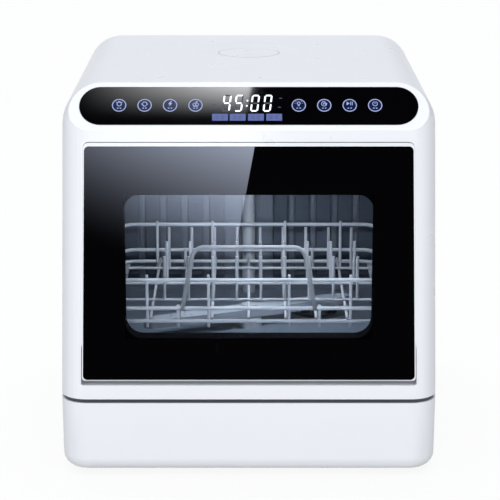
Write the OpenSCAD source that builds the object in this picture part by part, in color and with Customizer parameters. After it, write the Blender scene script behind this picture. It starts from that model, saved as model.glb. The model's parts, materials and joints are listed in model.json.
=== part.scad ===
// Countertop dishwasher with a drop-down glass door and a sliding wire rack.
// Millimetres. The front faces -Y, +Z is up, and the origin is on the floor below the middle.

/* [Housing] */
// Width of the housing at the seam, its widest line
body_w = 420; // [400:1:460]
// Depth of the housing
body_d = 430; // [424:1:470]
// Height of the housing above the floor
body_h = 440; // [436:1:470]
// Radius of the upright corners
corner_r = 30; // [28:1:32]
// Radius of the rolled top edges
top_r = 42; // [38:1:44]
// Thickness of the moulded walls
wall = 3; // [2.5:0.1:3.5]
// How far each side of the upper shell leans in between seam and top
shell_taper = 9; // [4:0.5:11]
// How far each side of the base leans in towards the floor
base_taper = 0.5; // [0.5:0.5:3]
// Radius of the lower edge of the base
base_edge_r = 16; // [12:1:18]
// Height of the dark seam between base and shell, at its middle
seam_z = 88; // [86:0.5:89]
// Height of the seam groove
seam_gap = 4.5; // [3:0.5:5]
// Depth of the seam groove
seam_inset = 2; // [1.5:0.1:2.4]
// Height of the rubber feet
foot_h = 4; // [3:0.5:6]
// Diameter of the rubber feet
foot_d = 30; // [20:1:34]

/* [Control panel] */
// Height of the sloping band that carries the control panel
slope_h = 46; // [44:1:48]
// Lean of the sloping band, degrees back from upright
slope_tilt = 39; // [36:1:42]
// Distance from the side of the housing to the end of the control panel
panel_margin = 27.5; // [25:0.5:34]
// Height of the control panel, measured up the slope
panel_h = 46; // [44:1:50]
// Thickness of the control panel lens
lens_t = 2.5; // [2:0.1:3]
// Outer diameter of a touch ring
ring_d = 15.4; // [14:0.1:18]
// Line width of a touch ring
ring_line = 1; // [0.8:0.1:1.6]
// Distance between neighbouring touch rings
ring_pitch = 27.4; // [24:0.1:29]
// Distance from the middle to the nearest touch ring
ring_start = 55.6; // [50:0.1:58]
// Width of the lit display
display_w = 72; // [66:1:74]
// Sideways offset of the printed keys and the display from the middle
print_shift = -1.8; // [-2.5:0.1:2.5]

/* [Door] */
// Distance from the side of the housing to the edge of the door
door_margin = 24.5; // [24:0.5:28]
// Height of the lower edge of the door
door_z0 = 109; // [108:0.5:110]
// Distance from the top of the housing down to the upper edge of the door
door_drop = 59.5; // [58:0.5:62]
// Thickness of the door from its glass to its inner skin
door_t = 30; // [28:0.5:32]
// Gap between the door and its opening
door_gap = 2; // [1.8:0.1:2.4]
// Width of the rim beside the front glass
door_rim = 1.2; // [1:0.1:4]
// Width of the rim above the front glass
door_rim_top = 4; // [3:0.5:6]
// Thickness of the front glass
glass_t = 4; // [3:0.5:5]
// Height of the window above the floor
window_z0 = 160; // [156:1:166]
// Distance from the upper edge of the door down to the window
window_drop = 57.5; // [52:0.5:66]
// Distance from the side of the housing to the edge of the window
window_margin = 74; // [68:1:84]
// Corner radius of the window
window_r = 19; // [14:1:24]
// Distance of the hinge axis behind the front and above the lower edge of the door
hinge_r = 9; // [8.5:0.1:9.5]
// Diameter of the hinge pins
hinge_pin_d = 6; // [5:0.1:6.4]

/* [Tub] */
// Distance from the side of the housing to the inside of the tub
tub_margin = 38; // [37:0.5:40]
// Inside height of the tub floor above the floor
tub_z0 = 120; // [119.5:0.5:122]
// Distance from the top of the housing down to the ceiling of the tub
tub_drop = 68; // [66:0.5:74]
// Distance from the inside of the tub to the rear of the housing
tub_rear = 85; // [83:1:92]
// Thickness of the tub walls
tub_wall = 2.5; // [2:0.1:3]
// Radius of the tub edges
tub_r = 16; // [12:1:20]
// Distance between the upright ribs on the rear wall of the tub
rib_pitch = 27; // [24:1:36]
// Thickness of the door seal
seal_t = 3; // [2.6:0.1:4]

/* [Rack] */
// Gap between the rack and each side wall of the tub
rack_gap = 14; // [13:0.5:18]
// Gap between the rack and the rear wall of the tub
rack_rear_gap = 21; // [17:1:30]
// Distance from the door seal to the front of the rack
rack_setback = 29; // [28:1:34]
// Height of the floor of the rack
rack_z0 = 163; // [161:1:165]
// Height of the middle rail of the rack
rack_mid_z = 178; // [174:1:182]
// Height of the upper rail of the rack
rack_top_z = 211; // [204:1:218]
// Wire diameter of the rails
rail_wire_d = 4.4; // [4:0.1:5]
// Wire diameter of the uprights and tines
thin_wire_d = 3.4; // [3:0.1:4]
// Height of the handle arch
handle_z = 250; // [240:1:256]
// Width of the handle arch
handle_w = 150; // [130:1:160]
// Height of the tines above the floor of the rack
tine_h = 58; // [40:1:64]
// Distance between neighbouring tines
tine_pitch = 28; // [26:1:34]
// Distance from the front of the rack to the first row of tines
tine_row_start = 66; // [60:1:72]
// Distance between the rows of tines
tine_row_pitch = 70; // [64:1:72]

/* [Water system] */
// Length of each blade of the lower spray arm, from its axis
lower_arm_r = 134; // [120:1:136]
// Length of each blade of the upper spray arm, from its axis
upper_arm_r = 118; // [100:1:130]
// Diameter of the twist-out filter
filter_d = 52; // [46:1:56]
// Diameter of the hollow round the water inlet
dish_d = 124; // [114:1:140]
// Depth of the hollow round the water inlet
dish_depth = 5; // [3:0.5:6]
// Diameter of the cap on the water inlet
cap_d = 72; // [60:1:80]
// Depth of the water tank behind the tub
tank_d = 62; // [54:1:64]
// Outer diameter of the drying fan rotor
fan_d = 64; // [56:1:70]

/* [Hidden] */

front_y = -body_d / 2;
rear_y = body_d / 2;
shell_z0 = seam_z + seam_gap / 2;
base_z1 = seam_z - seam_gap / 2;
slope_z = body_h - slope_h;
door_z1 = body_h - door_drop;
arc_steps = 6;
roll_steps = 9;
roll_corner_share = 0.62;
cut = 1;
sliver = 0.01;

// Running, seating and sliding clearances
fit_gap = 0.05;
seat_gap = 0.3;
slide_gap = 0.8;

// Door
hinge_y = front_y + hinge_r;
hinge_z = door_z0 + hinge_r;
jamb_wall = 3;
jamb_margin = door_margin - door_gap - jamb_wall;
open_z0 = door_z0 - door_gap - 0.5;
open_z1 = door_z1 + door_gap;
door_corner_r = 6;
open_corner_r = 4;
jamb_corner_r = 8;
glass_corner_r = 5;
glass_z0 = door_z0 + 4;
glass_z1 = door_z1 - door_rim_top;
window_w = body_w - 2 * window_margin;
window_z1 = door_z1 - window_drop;
mask_t = 1;
frame_t = 2.5;
liner_t = 3;
liner_z0 = hinge_z + 0.5;
liner_z1 = door_z1 - 1;
door_back_y = front_y + door_t;
plate_y = front_y + glass_t + mask_t;
spacer_wall = 2;
pane_t = 3;
pin_reach = 6;

// Tub
tub_w = body_w - 2 * tub_margin;
tub_z1 = body_h - tub_drop;
tub_y0 = door_back_y + seal_t;
tub_y1 = rear_y - tub_rear;
tub_d = tub_y1 - tub_y0;
tub_mid_y = (tub_y0 + tub_y1) / 2;
seal_w = 6;
flange_t = 2.5;

// Rack
rack_w = tub_w - 2 * rack_gap;
rack_y0 = tub_y0 + rack_setback;
rack_y1 = tub_y1 - rack_rear_gap;
rack_d = rack_y1 - rack_y0;
rack_corner_r = 16;
rail_top = rack_z0 - rail_wire_d / 2 - seat_gap;
weld = 0.6;

// Water system
filter_x = 80;
filter_y = tub_mid_y + 56;
sump_wall = 3;
sump_r = filter_d / 2 + 10;
sump_z0 = 84;
hub_r = 13;
arm_t = 11;
lower_arm_z = tub_z0 + 12;
upper_arm_z = tub_z1 - 34;
pipe_r = 8;
tank_y0 = tub_y1 + tub_wall + 6;
tank_z0 = shell_z0 + 6;
tank_z1 = tub_z1 + 12;
tank_half = tub_w / 2 + 6;
cap_y = 53;
dish_floor = 4;

// Half-width of the drafted shell at a height
function shell_half(z) = body_w / 2 - shell_taper * (z - seam_z) / (body_h - seam_z);

// Quarter arc of points round a centre
function corner_arc(x, z, r, start) =
    [for (i = [0 : arc_steps]) let (a = start + 90 * i / arc_steps) [x + r * cos(a), z + r * sin(a)]];

// Rounded outline between two heights, given its half-widths there
function round_outline(half0, half1, z0, z1, r) = concat(
    corner_arc(half1 - r, z1 - r, r, 0), corner_arc(r - half1, z1 - r, r, 90),
    corner_arc(r - half0, z0 + r, r, 180), corner_arc(half0 - r, z0 + r, r, 270));

// Upright plate between two depths
module upright(y0, y1) {
    translate([0, y1, 0])
        rotate([90, 0, 0])
            linear_extrude(y1 - y0)
                children();
}

// Outline whose sides run parallel to the sides of the shell
module drafted_outline(margin, z0, z1, r) {
    polygon(round_outline(shell_half(z0) - margin, shell_half(z1) - margin, z0, z1, r));
}

module square_outline(half, z0, z1, r) {
    polygon(round_outline(half, half, z0, z1, r));
}

// Solid inside the shell's surface, set in by a wall
module shell_form(inset, z0) {
    hull() {
        for (sx = [-1, 1], sy = [-1, 1]) {
            translate([sx * (shell_half(z0) - corner_r), sy * (body_d / 2 - corner_r), z0])
                cylinder(r = corner_r - inset, h = sliver, $fn = 48);
            for (i = [0 : roll_steps])
                roll_level(sx, sy, inset, 90 * i / roll_steps);
        }
    }
}

// Corner of one level of the rolled top edge; the corner tightens as the level moves in
module roll_level(sx, sy, inset, angle) {
    back = top_r - (top_r - inset) * cos(angle);
    z = body_h - top_r + (top_r - inset) * sin(angle) - sliver;
    r = corner_r - inset - roll_corner_share * (back - inset);
    translate([sx * (shell_half(z) - back - r), sy * (body_d / 2 - back - r), z])
        cylinder(r = r, h = sliver, $fn = 48);
}

// Solid inside the base's surface, set in by a wall
module base_form(inset, z1) {
    roll = base_edge_r - inset;
    hull() {
        for (sx = [-1, 1], sy = [-1, 1]) {
            translate([sx * (body_w / 2 - corner_r), sy * (body_d / 2 - corner_r), z1 - sliver])
                cylinder(r = corner_r - inset, h = sliver, $fn = 48);
            translate([sx * (body_w / 2 - corner_r - base_taper), sy * (body_d / 2 - corner_r - base_taper),
                foot_h + base_edge_r])
                rotate_extrude($fn = 48)
                    polygon(concat([[0, 0], [0, -roll]], [for (a = [-90 : 15 : 0])
                        [corner_r - base_edge_r + roll * cos(a), roll * sin(a)]]));
        }
    }
}

// Plan of the housing, set in from the seam line
module plan_outline(inset) {
    w = body_w / 2 - inset;
    d = body_d / 2 - inset;
    r = corner_r - inset;
    polygon(concat(
        corner_arc(w - r, d - r, r, 0), corner_arc(r - w, d - r, r, 90),
        corner_arc(r - w, r - d, r, 180), corner_arc(w - r, r - d, r, 270)));
}

// Frame on the sloping band: x across, z up the slope, y into the housing
module on_slope() {
    translate([0, front_y, slope_z])
        rotate([-slope_tilt, 0, 0])
            children();
}

// Everything in front of the sloping band, set in by a wall
module slope_space(inset) {
    on_slope()
        translate([-body_w, inset - body_d, -body_h / 8])
            cube([2 * body_w, body_d, body_h / 2]);
}

panel_w = body_w - 2 * panel_margin;
panel_z = slope_h / cos(slope_tilt) / 2 + 0.2;
ring_z = panel_z + 0.4;
lens_proud = 0.5;
lens_gap = 0.3;

// Stadium on the sloping band, between two depths
module stadium(w, h, y0, y1) {
    on_slope()
        translate([0, y1, panel_z])
            rotate([90, 0, 0])
                linear_extrude(y1 - y0) {
                    square([w - h, h], center = true);
                    for (sx = [-1, 1])
                        translate([sx * (w - h) / 2, 0])
                            circle(d = h, $fn = 64);
                }
}

// ---- Base ----

foot_x = body_w / 2 - 45;
foot_y = body_d / 2 - 45;
foot_edge = 1.5;
post_x = tub_w / 2 - 20;
post_r = 8;
pocket_w = 136;
pocket_x1 = body_w / 2 - 34;
pocket_x0 = pocket_x1 - pocket_w;
pocket_z0 = 24;
pocket_z1 = 68;
pocket_depth = 20;
tank_stand_x = 130;
float_x = 60;
float_y = -130;
float_pin_r = 2;
float_pin_h = 34;
float_rest = 2;

module base_tray() {
    color("white")
    difference() {
        union() {
            difference() {
                base_form(0, base_z1);
                base_form(wall, base_z1 + cut);
            }
            // Posts that carry the tub
            for (sx = [-1, 1], y = [tub_y0 + 30, tub_y1 - 30])
                translate([sx * post_x, y, foot_h + wall / 2])
                    cylinder(r = post_r, h = tub_z0 - tub_wall - foot_h - wall / 2, $fn = 32);
            // Stands under the water tank
            for (sx = [-1, 1])
                translate([sx * tank_stand_x - 4, tank_y0 + 10, foot_h + wall / 2])
                    cube([8, tank_d - 24, tank_z0 - foot_h - wall / 2]);
            // Spindle of the leak float
            translate([float_x, float_y, foot_h + wall / 2])
                cylinder(r = float_pin_r, h = float_pin_h + wall / 2, $fn = 24);
            // Stiffening ribs across the floor
            for (y = [-1, 1])
                translate([-body_w / 2 + 30, y * body_d / 5 - 1.5, foot_h + wall / 2])
                    cube([body_w - 60, 3, 8]);
            // Recess wall round the rear connections
            translate([pocket_x0 - wall, rear_y - pocket_depth - wall, pocket_z0 - wall])
                cube([pocket_x1 - pocket_x0 + 2 * wall, pocket_depth + wall - 1,
                    pocket_z1 - pocket_z0 + 2 * wall]);
        }
        translate([pocket_x0, rear_y - pocket_depth, pocket_z0])
            cube([pocket_x1 - pocket_x0, pocket_depth + cut, pocket_z1 - pocket_z0]);
        // Seats for the connectors
        for (x = connector_x)
            translate([x, rear_y - pocket_depth - wall - cut, connector_z])
                rotate([-90, 0, 0])
                    cylinder(r = connector_seat_r, h = wall + 2 * cut, $fn = 32);
        // Air slots in the floor
        for (i = [-4 : 4])
            translate([i * 14 - 110 - 3, -18, foot_h - cut])
                cube([6, 70, wall + 2 * cut]);
        // Screw holes in the floor
        for (p = base_screw_places)
            translate([p[0], p[1], foot_h - cut])
                cylinder(r = screw_r + fit_gap, h = 10 + cut, $fn = 24);
    }
}

connector_pitch = 48;
connector_x = [for (i = [0 : 2]) pocket_x0 + 22 + connector_pitch * i];
connector_z = (pocket_z0 + pocket_z1) / 2;
connector_flange = 3;
connector_back_y = rear_y - pocket_depth - wall - connector_flange;
connector_seat_r = 9;
screw_r = 2;
head_r = 4;
base_screw_places = [for (sx = [-1, 1], y = [tub_y0 + 30, tub_y1 - 30]) [sx * post_x, y]];

module foot(sx, sy) {
    color("dimgray")
    translate([sx * foot_x, sy * foot_y, 0])
        rotate_extrude($fn = 48)
            polygon([[0, 0], [foot_d / 2 - foot_edge, 0], [foot_d / 2, foot_edge],
                [foot_d / 2 - 1, foot_h], [0, foot_h]]);
}

module foot_front_left() foot(-1, -1);
module foot_front_right() foot(1, -1);
module foot_rear_left() foot(-1, 1);
module foot_rear_right() foot(1, 1);

// Screws from below into the tub posts, their heads shallower than the feet
module base_screws() {
    color("silver")
    for (p = base_screw_places)
        translate([p[0], p[1], foot_h - 2]) {
            cylinder(r = head_r, h = 2, $fn = 24);
            cylinder(r = screw_r, h = 11, $fn = 24);
        }
}

module seam_band() {
    color("black")
    translate([0, 0, base_z1])
        linear_extrude(seam_gap)
            difference() {
                plan_outline(seam_inset);
                plan_outline(seam_inset + 3);
            }
}

// ---- Shell ----

rear_field_half = body_w / 2 - 45;
rear_field_z0 = shell_z0 + 14;
rear_field_z1 = body_h - 48;
rear_field_depth = 5;
rear_plate_t = 1.2;
rear_open_inset = 12;

module outer_shell() {
    color("white")
    difference() {
        union() {
            difference() {
                shell_form(0, shell_z0);
                slope_space(0);
                difference() {
                    shell_form(wall, shell_z0 - cut);
                    slope_space(wall);
                }
            }
            // Jamb round the door
            upright(front_y + wall, tub_y0)
                drafted_outline(jamb_margin, open_z0 - jamb_wall, open_z1 + jamb_wall, jamb_corner_r);
            // Hinge bosses
            for (sx = [-1, 1])
                translate([sx * (shell_half(hinge_z) - jamb_margin - cut), hinge_y, hinge_z])
                    rotate([0, sx * 90, 0])
                        cylinder(r = hinge_boss_r, h = hinge_boss_h + cut, $fn = 32);
            // Thick ground of the hollow round the water inlet
            translate([0, cap_y, body_h - dish_depth - dish_floor])
                cylinder(d = dish_d + 6, h = dish_depth + dish_floor - wall / 2, $fn = 64);
            // Rear service field
            translate([-rear_field_half - wall, rear_y - rear_field_depth - wall, rear_field_z0 - wall])
                cube([2 * (rear_field_half + wall), rear_field_depth + wall / 2,
                    rear_field_z1 - rear_field_z0 + 2 * wall]);
        }
        // Door opening
        upright(front_y - cut, tub_y0 + cut)
            drafted_outline(door_margin - door_gap, open_z0, open_z1, open_corner_r);
        // Seat of the control panel, and the opening for its board
        stadium(panel_w + 2 * lens_gap, panel_h + 2 * lens_gap, -cut, lens_t - lens_proud);
        stadium(panel_w - 16, panel_h - 16, 0, wall + cut);
        // Hollow round the water inlet, seat of the cap and the inlet itself
        translate([0, cap_y, body_h - dish_depth + dish_sphere_r])
            sphere(r = dish_sphere_r, $fn = 96);
        translate([0, cap_y, cap_seat_z])
            cylinder(d = cap_d + 2 * slide_gap, h = 10, $fn = 64);
        translate([0, cap_y, cap_seat_z - 20])
            cylinder(r = inlet_r, h = 30, $fn = 64);
        // Rear service field and its opening
        translate([-rear_field_half, rear_y - rear_field_depth, rear_field_z0])
            cube([2 * rear_field_half, rear_field_depth + cut, rear_field_z1 - rear_field_z0]);
        translate([rear_open_inset - rear_field_half, rear_y - rear_field_depth - wall - cut,
            rear_field_z0 + rear_open_inset])
            cube([2 * (rear_field_half - rear_open_inset), wall + 2 * cut,
                rear_field_z1 - rear_field_z0 - 2 * rear_open_inset]);
        // Bores for the rear screws
        for (p = rear_screw_places)
            translate([p[0], rear_y - rear_field_depth - wall - cut, p[1]])
                rotate([-90, 0, 0])
                    cylinder(r = screw_r + fit_gap, h = wall + 2 * cut, $fn = 24);
        // Bores for the hinge bushes
        for (sx = [-1, 1])
            translate([sx * (shell_half(hinge_z) - jamb_margin - jamb_wall - cut), hinge_y, hinge_z])
                rotate([0, sx * 90, 0])
                    cylinder(r = bush_r + fit_gap, h = jamb_wall + hinge_boss_h + 2 * cut, $fn = 32);
    }
}

hinge_boss_r = 5.4;
hinge_boss_h = 3.2;
bush_r = hinge_pin_d / 2 + 1.3;
dish_sphere_r = (dish_d * dish_d / 4 + dish_depth * dish_depth) / (2 * dish_depth);
cap_seat_z = body_h - dish_depth - 1;
inlet_r = cap_d / 2 - 5;
rear_screw_x = rear_field_half - rear_open_inset / 2;
rear_screw_z = [rear_field_z0 + 30, (rear_field_z0 + rear_field_z1) / 2, rear_field_z1 - 30];
rear_screw_places = [for (sx = [-1, 1], z = rear_screw_z) [sx * rear_screw_x, z]];

module rear_panel() {
    color("gainsboro")
    difference() {
        translate([seat_gap - rear_field_half, rear_y - rear_field_depth, rear_field_z0 + seat_gap])
            cube([2 * (rear_field_half - seat_gap), rear_plate_t,
                rear_field_z1 - rear_field_z0 - 2 * seat_gap]);
        // Louvres for the drying air
        for (column = [-1, 1], row = [0 : 8])
            translate([column * 75 - 45, rear_y - rear_field_depth - cut, rear_field_z1 - 50 - 12 * row])
                cube([90, rear_plate_t + 2 * cut, 5]);
        for (p = rear_screw_places)
            translate([p[0], rear_y - rear_field_depth - cut, p[1]])
                rotate([-90, 0, 0])
                    cylinder(r = screw_r + fit_gap, h = rear_plate_t + 2 * cut, $fn = 24);
    }
}

module rear_screws() {
    color("silver")
    for (p = rear_screw_places)
        translate([p[0], rear_y - rear_field_depth + rear_plate_t, p[1]])
            rotate([-90, 0, 0]) {
                cylinder(r = head_r, h = 2, $fn = 24);
                translate([0, 0, -rear_plate_t - wall])
                    cylinder(r = screw_r, h = rear_plate_t + wall, $fn = 24);
            }
}

module hinge_bush(sx) {
    color("lightgray")
    translate([sx * (shell_half(hinge_z) - jamb_margin - jamb_wall), hinge_y, hinge_z])
        rotate([0, sx * 90, 0])
            difference() {
                cylinder(r = bush_r, h = jamb_wall + hinge_boss_h, $fn = 48);
                translate([0, 0, -cut])
                    cylinder(d = hinge_pin_d + 2 * fit_gap, h = jamb_wall + hinge_boss_h + 2 * cut, $fn = 48);
            }
}

module hinge_bush_left() hinge_bush(-1);
module hinge_bush_right() hinge_bush(1);

// ---- Control panel ----

lens_back = lens_t - lens_proud;
board_y = wall + 6;
board_t = 1.6;
board_w = panel_w - 30;
board_h = panel_h - 22;
ring_places = [for (sx = [-1, 1], i = [0 : 3]) print_shift + sx * (ring_start + i * ring_pitch)];

module control_lens() {
    color("black")
    stadium(panel_w, panel_h, -lens_proud, lens_back);
}

module touch_rings() {
    color("lavender")
    on_slope()
        for (x = ring_places)
            translate([x, -lens_proud, ring_z])
                rotate([90, 0, 0])
                    linear_extrude(0.2)
                        difference() {
                            circle(d = ring_d, $fn = 48);
                            circle(d = ring_d - 2 * ring_line, $fn = 48);
                        }
}

module display_module() {
    color("darkslategray")
    on_slope()
        translate([print_shift - display_w / 2, lens_back, panel_z - board_h / 2 + 1])
            cube([display_w, board_y - lens_back, board_h - 2]);
}

module control_board() {
    color("seagreen")
    on_slope()
        union() {
            translate([-board_w / 2, board_y, panel_z - board_h / 2])
                cube([board_w, board_t, board_h]);
            // Spacers to the back of the lens
            for (x = [-board_w / 2 + 4, board_w / 2 - 4])
                translate([x, lens_back, panel_z])
                    rotate([-90, 0, 0])
                        cylinder(r = 3, h = board_y - lens_back + board_t / 2, $fn = 24);
            // Processor and plug on the rear of the board
            translate([-80, board_y + board_t / 2, panel_z - 8])
                cube([18, 3, 16]);
            translate([60, board_y + board_t / 2, panel_z - 6])
                cube([26, 7, 12]);
        }
}

module touch_springs() {
    color("goldenrod")
    on_slope()
        for (x = ring_places)
            translate([x, lens_back, ring_z])
                rotate([-90, 0, 0])
                    difference() {
                        cylinder(r = 4.5, h = board_y - lens_back, $fn = 24);
                        translate([0, 0, -cut])
                            cylinder(r = 3.5, h = board_y - lens_back + 2 * cut, $fn = 24);
                    }
}

// ---- Tub ----

module tub() {
    color("slategray")
    difference() {
        union() {
            upright(tub_y0, tub_y1 + tub_wall)
                square_outline(tub_w / 2 + tub_wall, tub_z0 - tub_wall, tub_z1 + tub_wall, tub_r);
            upright(tub_y0, tub_y0 + flange_t)
                drafted_outline(jamb_margin, open_z0 - jamb_wall, open_z1 + jamb_wall, jamb_corner_r);
        }
        difference() {
            upright(tub_y0 + flange_t, tub_y1)
                square_outline(tub_w / 2, tub_z0, tub_z1, tub_r - tub_wall);
            // Upright ribs on the rear wall
            for (x = [-5 * rib_pitch : rib_pitch : 5 * rib_pitch])
                if (abs(x) > pipe_r + 6)
                    translate([x - 2, tub_y1 - 3, tub_z0 + 24])
                        cube([4, 4, tub_z1 - tub_z0 - 48]);
        }
        // Mouth behind the door, with a sill that keeps the water in
        upright(tub_y0 - cut, tub_y0 + flange_t + cut)
            square_outline(tub_w / 2, mouth_z0, mouth_z1, tub_r - tub_wall);
        // Holes for filter, hub, feed pipe and drying air
        translate([filter_x, filter_y, tub_z0 - tub_wall - cut])
            cylinder(r = filter_d / 2 + 3, h = tub_wall + 2 * cut, $fn = 48);
        translate([0, tub_mid_y, tub_z0 - tub_wall - cut])
            cylinder(r = hub_r, h = tub_wall + 2 * cut, $fn = 48);
        translate([0, feed_y, tub_z0 - tub_wall - cut])
            cylinder(r = pipe_r + fit_gap, h = tub_wall + 2 * cut, $fn = 48);
        translate([fan_x, fan_y, tub_z1 - cut])
            cylinder(r = 14, h = tub_wall + 2 * cut, $fn = 48);
        // Slot for the latch hook in the flange
        translate([-latch_w / 2 - 3, tub_y0 - cut, tub_roof_z])
            cube([latch_w + 6, flange_t + 2 * cut, latch_h + 4]);
    }
}

feed_y = tub_y1 - pipe_r - 1.5;
tub_roof_z = tub_z1 + tub_wall;
mouth_z0 = tub_z0 - 0.5 + seal_w;
mouth_z1 = tub_z1 + 2.6 - seal_w;
latch_w = 16;
latch_h = 3.8;
latch_t = 2;
latch_reach = 12;

module tub_seal() {
    color("dimgray")
    upright(door_back_y + seat_gap, tub_y0)
        difference() {
            square_outline(tub_w / 2 + seal_w, mouth_z0 - seal_w, mouth_z1 + seal_w, tub_r + 2);
            square_outline(tub_w / 2, mouth_z0, mouth_z1, tub_r - tub_wall);
        }
}

// Shelf and guard that carry one side of the rack
module rack_rail(sx) {
    color("lightgray")
    difference() {
        translate([sx * tub_w / 2, 0, 0])
            mirror([sx > 0 ? 1 : 0, 0, 0])
                union() {
                    translate([0, tub_y0 + 4, rail_top - 4])
                        cube([(tub_w - rack_w) / 2 + 8, tub_d - 10, 4]);
                    translate([0, tub_y0 + 4, rail_top - 4])
                        cube([(tub_w - rack_w) / 2 - rail_wire_d / 2 - slide_gap, tub_d - 10, 14]);
                }
        // Drain notches
        for (y = [tub_y0 + 40 : 60 : tub_y1 - 40])
            translate([sx * (rack_w / 2 - 4) - 3, y, rail_top - 4 - cut])
                cube([6, 20, 4 + 2 * cut]);
    }
}

module rack_rail_left() rack_rail(-1);
module rack_rail_right() rack_rail(1);

// Pocket in the cabinet that takes the latch hook of the door
module latch_catch() {
    color("gray")
    difference() {
        translate([-latch_w / 2 - 6, tub_y0 + flange_t, tub_roof_z])
            cube([latch_w + 12, latch_reach + 6, latch_h + 8]);
        translate([-latch_w / 2 - 3, tub_y0 + flange_t - cut, tub_roof_z + 1])
            cube([latch_w + 6, latch_reach + 3 + cut, latch_h + 5]);
    }
}

module door_switch() {
    color("firebrick")
    union() {
        translate([latch_w / 2 + 6, tub_y0 + flange_t, tub_roof_z])
            cube([12, 10, latch_h + 4]);
        translate([latch_w / 2 + 8, tub_y0 + flange_t + 10, tub_roof_z + 2])
            cube([8, 4, 3]);
    }
}

// ---- Sump, filter and spray arms ----

module sump() {
    color("darkgray")
    difference() {
        union() {
            translate([filter_x, filter_y, sump_z0])
                cylinder(r = sump_r, h = tub_z0 - tub_wall - sump_z0, $fn = 48);
            // Arm of the sump that carries the spray hub
            translate([0, 0, sump_z0 + 12])
                linear_extrude(tub_z0 - tub_wall - sump_z0 - 12)
                    polygon([[filter_x - sump_r * 0.5, filter_y - sump_r * 0.8],
                        [filter_x + sump_r * 0.3, filter_y - sump_r * 0.8],
                        [hub_r + 6, tub_mid_y - hub_r - 4], [-hub_r - 6, tub_mid_y - hub_r - 4],
                        [-hub_r - 6, tub_mid_y + hub_r + 4], [filter_x - sump_r * 0.8, filter_y]]);
        }
        translate([filter_x, filter_y, sump_z0 + sump_wall])
            cylinder(r = sump_r - sump_wall, h = tub_z0, $fn = 48);
        translate([0, tub_mid_y, sump_z0 + 16])
            cylinder(r = hub_r - 4, h = tub_z0, $fn = 48);
    }
}

module filter_plate() {
    color("silver")
    difference() {
        translate([filter_x, filter_y, tub_z0])
            cylinder(r = filter_d / 2 + 12, h = 1.2, $fn = 64);
        translate([filter_x, filter_y, tub_z0 - cut])
            cylinder(r = filter_d / 2 + slide_gap, h = 1.2 + 2 * cut, $fn = 64);
        for (i = [0 : 23])
            translate([filter_x, filter_y, tub_z0 - cut])
                rotate([0, 0, i * 15])
                    translate([filter_d / 2 + 6, 0, 0])
                        cylinder(r = 1.6, h = 1.2 + 2 * cut, $fn = 16);
    }
}

filter_z0 = sump_z0 + sump_wall + 4;

// Twist-out cup with drain slots and a grip across its top
module filter_basket() {
    color("gray")
    translate([filter_x, filter_y, 0])
        difference() {
            union() {
                translate([0, 0, filter_z0])
                    cylinder(d = filter_d - 2, h = tub_z0 - filter_z0, $fn = 64);
                translate([0, 0, tub_z0 + 1.2 + seat_gap])
                    cylinder(d = filter_d + 4, h = 1.5, $fn = 64);
                translate([0, 0, tub_z0 - cut])
                    cylinder(d = filter_d - 2, h = 3, $fn = 64);
                translate([-filter_d / 2 + 3, -1.5, tub_z0 + 1.5])
                    cube([filter_d - 6, 3, 5]);
            }
            difference() {
                translate([0, 0, filter_z0 + 2])
                    cylinder(d = filter_d - 6, h = 40, $fn = 64);
                translate([-filter_d / 2, -1.5, tub_z0 + 1.5])
                    cube([filter_d, 3, 8]);
            }
            for (i = [0 : 11])
                rotate([0, 0, i * 30 + 15])
                    translate([filter_d / 2 - 5, -2.5, filter_z0 + 5])
                        cube([10, 5, tub_z0 - filter_z0 - 9]);
        }
}

// Threaded feed that the lower arm turns on
module arm_hub() {
    color("gray")
    translate([0, tub_mid_y, 0])
        difference() {
            union() {
                translate([0, 0, tub_z0 - tub_wall])
                    cylinder(r = hub_r - fit_gap, h = tub_wall, $fn = 48);
                translate([0, 0, tub_z0])
                    cylinder(r = hub_r + 3, h = lower_arm_z - tub_z0 - seat_gap, $fn = 48);
                translate([0, 0, lower_arm_z - 4])
                    cylinder(r = 6, h = arm_t + 4 + seat_gap, $fn = 48);
                translate([0, 0, lower_arm_z + arm_t + seat_gap])
                    cylinder(r = 9, h = 3, $fn = 48);
            }
            translate([0, 0, tub_z0 - tub_wall - cut])
                cylinder(r = 4, h = lower_arm_z - tub_z0 + tub_wall + 6, $fn = 32);
        }
}

// Two-blade arm: a bored boss with flattened, tapering blades and upward jets
module spray_arm(length, bore_r, up) {
    difference() {
        union() {
            cylinder(r = hub_r, h = arm_t, $fn = 48);
            translate([0, 0, up > 0 ? 1 : 0])
                linear_extrude(arm_t - 1)
                    polygon(concat(
                        [for (i = [0 : 8]) [length - 9 + 9 * sin(180 * i / 8), -9 * cos(180 * i / 8)]],
                        [[0, 14]],
                        [for (i = [0 : 8]) [9 - length - 9 * sin(180 * i / 8), 9 * cos(180 * i / 8)]],
                        [[0, -14]]));
        }
        translate([0, 0, -cut])
            cylinder(r = bore_r, h = arm_t + 2 * cut, $fn = 48);
        for (side = [0, 180], i = [1 : 4])
            rotate([0, 0, side])
                translate([length * (0.2 + 0.18 * i), i % 2 == 0 ? 3 : -3, up > 0 ? arm_t - 4 : -cut])
                    cylinder(r = 1.5, h = 4 + cut, $fn = 16);
    }
}

module lower_spray_arm() {
    color("gainsboro")
    translate([0, tub_mid_y, lower_arm_z])
        rotate([0, 0, 24])
            spray_arm(lower_arm_r, 6 + fit_gap, 1);
}

module upper_spray_arm() {
    color("gainsboro")
    translate([0, tub_mid_y, upper_arm_z])
        rotate([0, 0, -12])
            spray_arm(upper_arm_r, 6 + fit_gap, -1);
}

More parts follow.
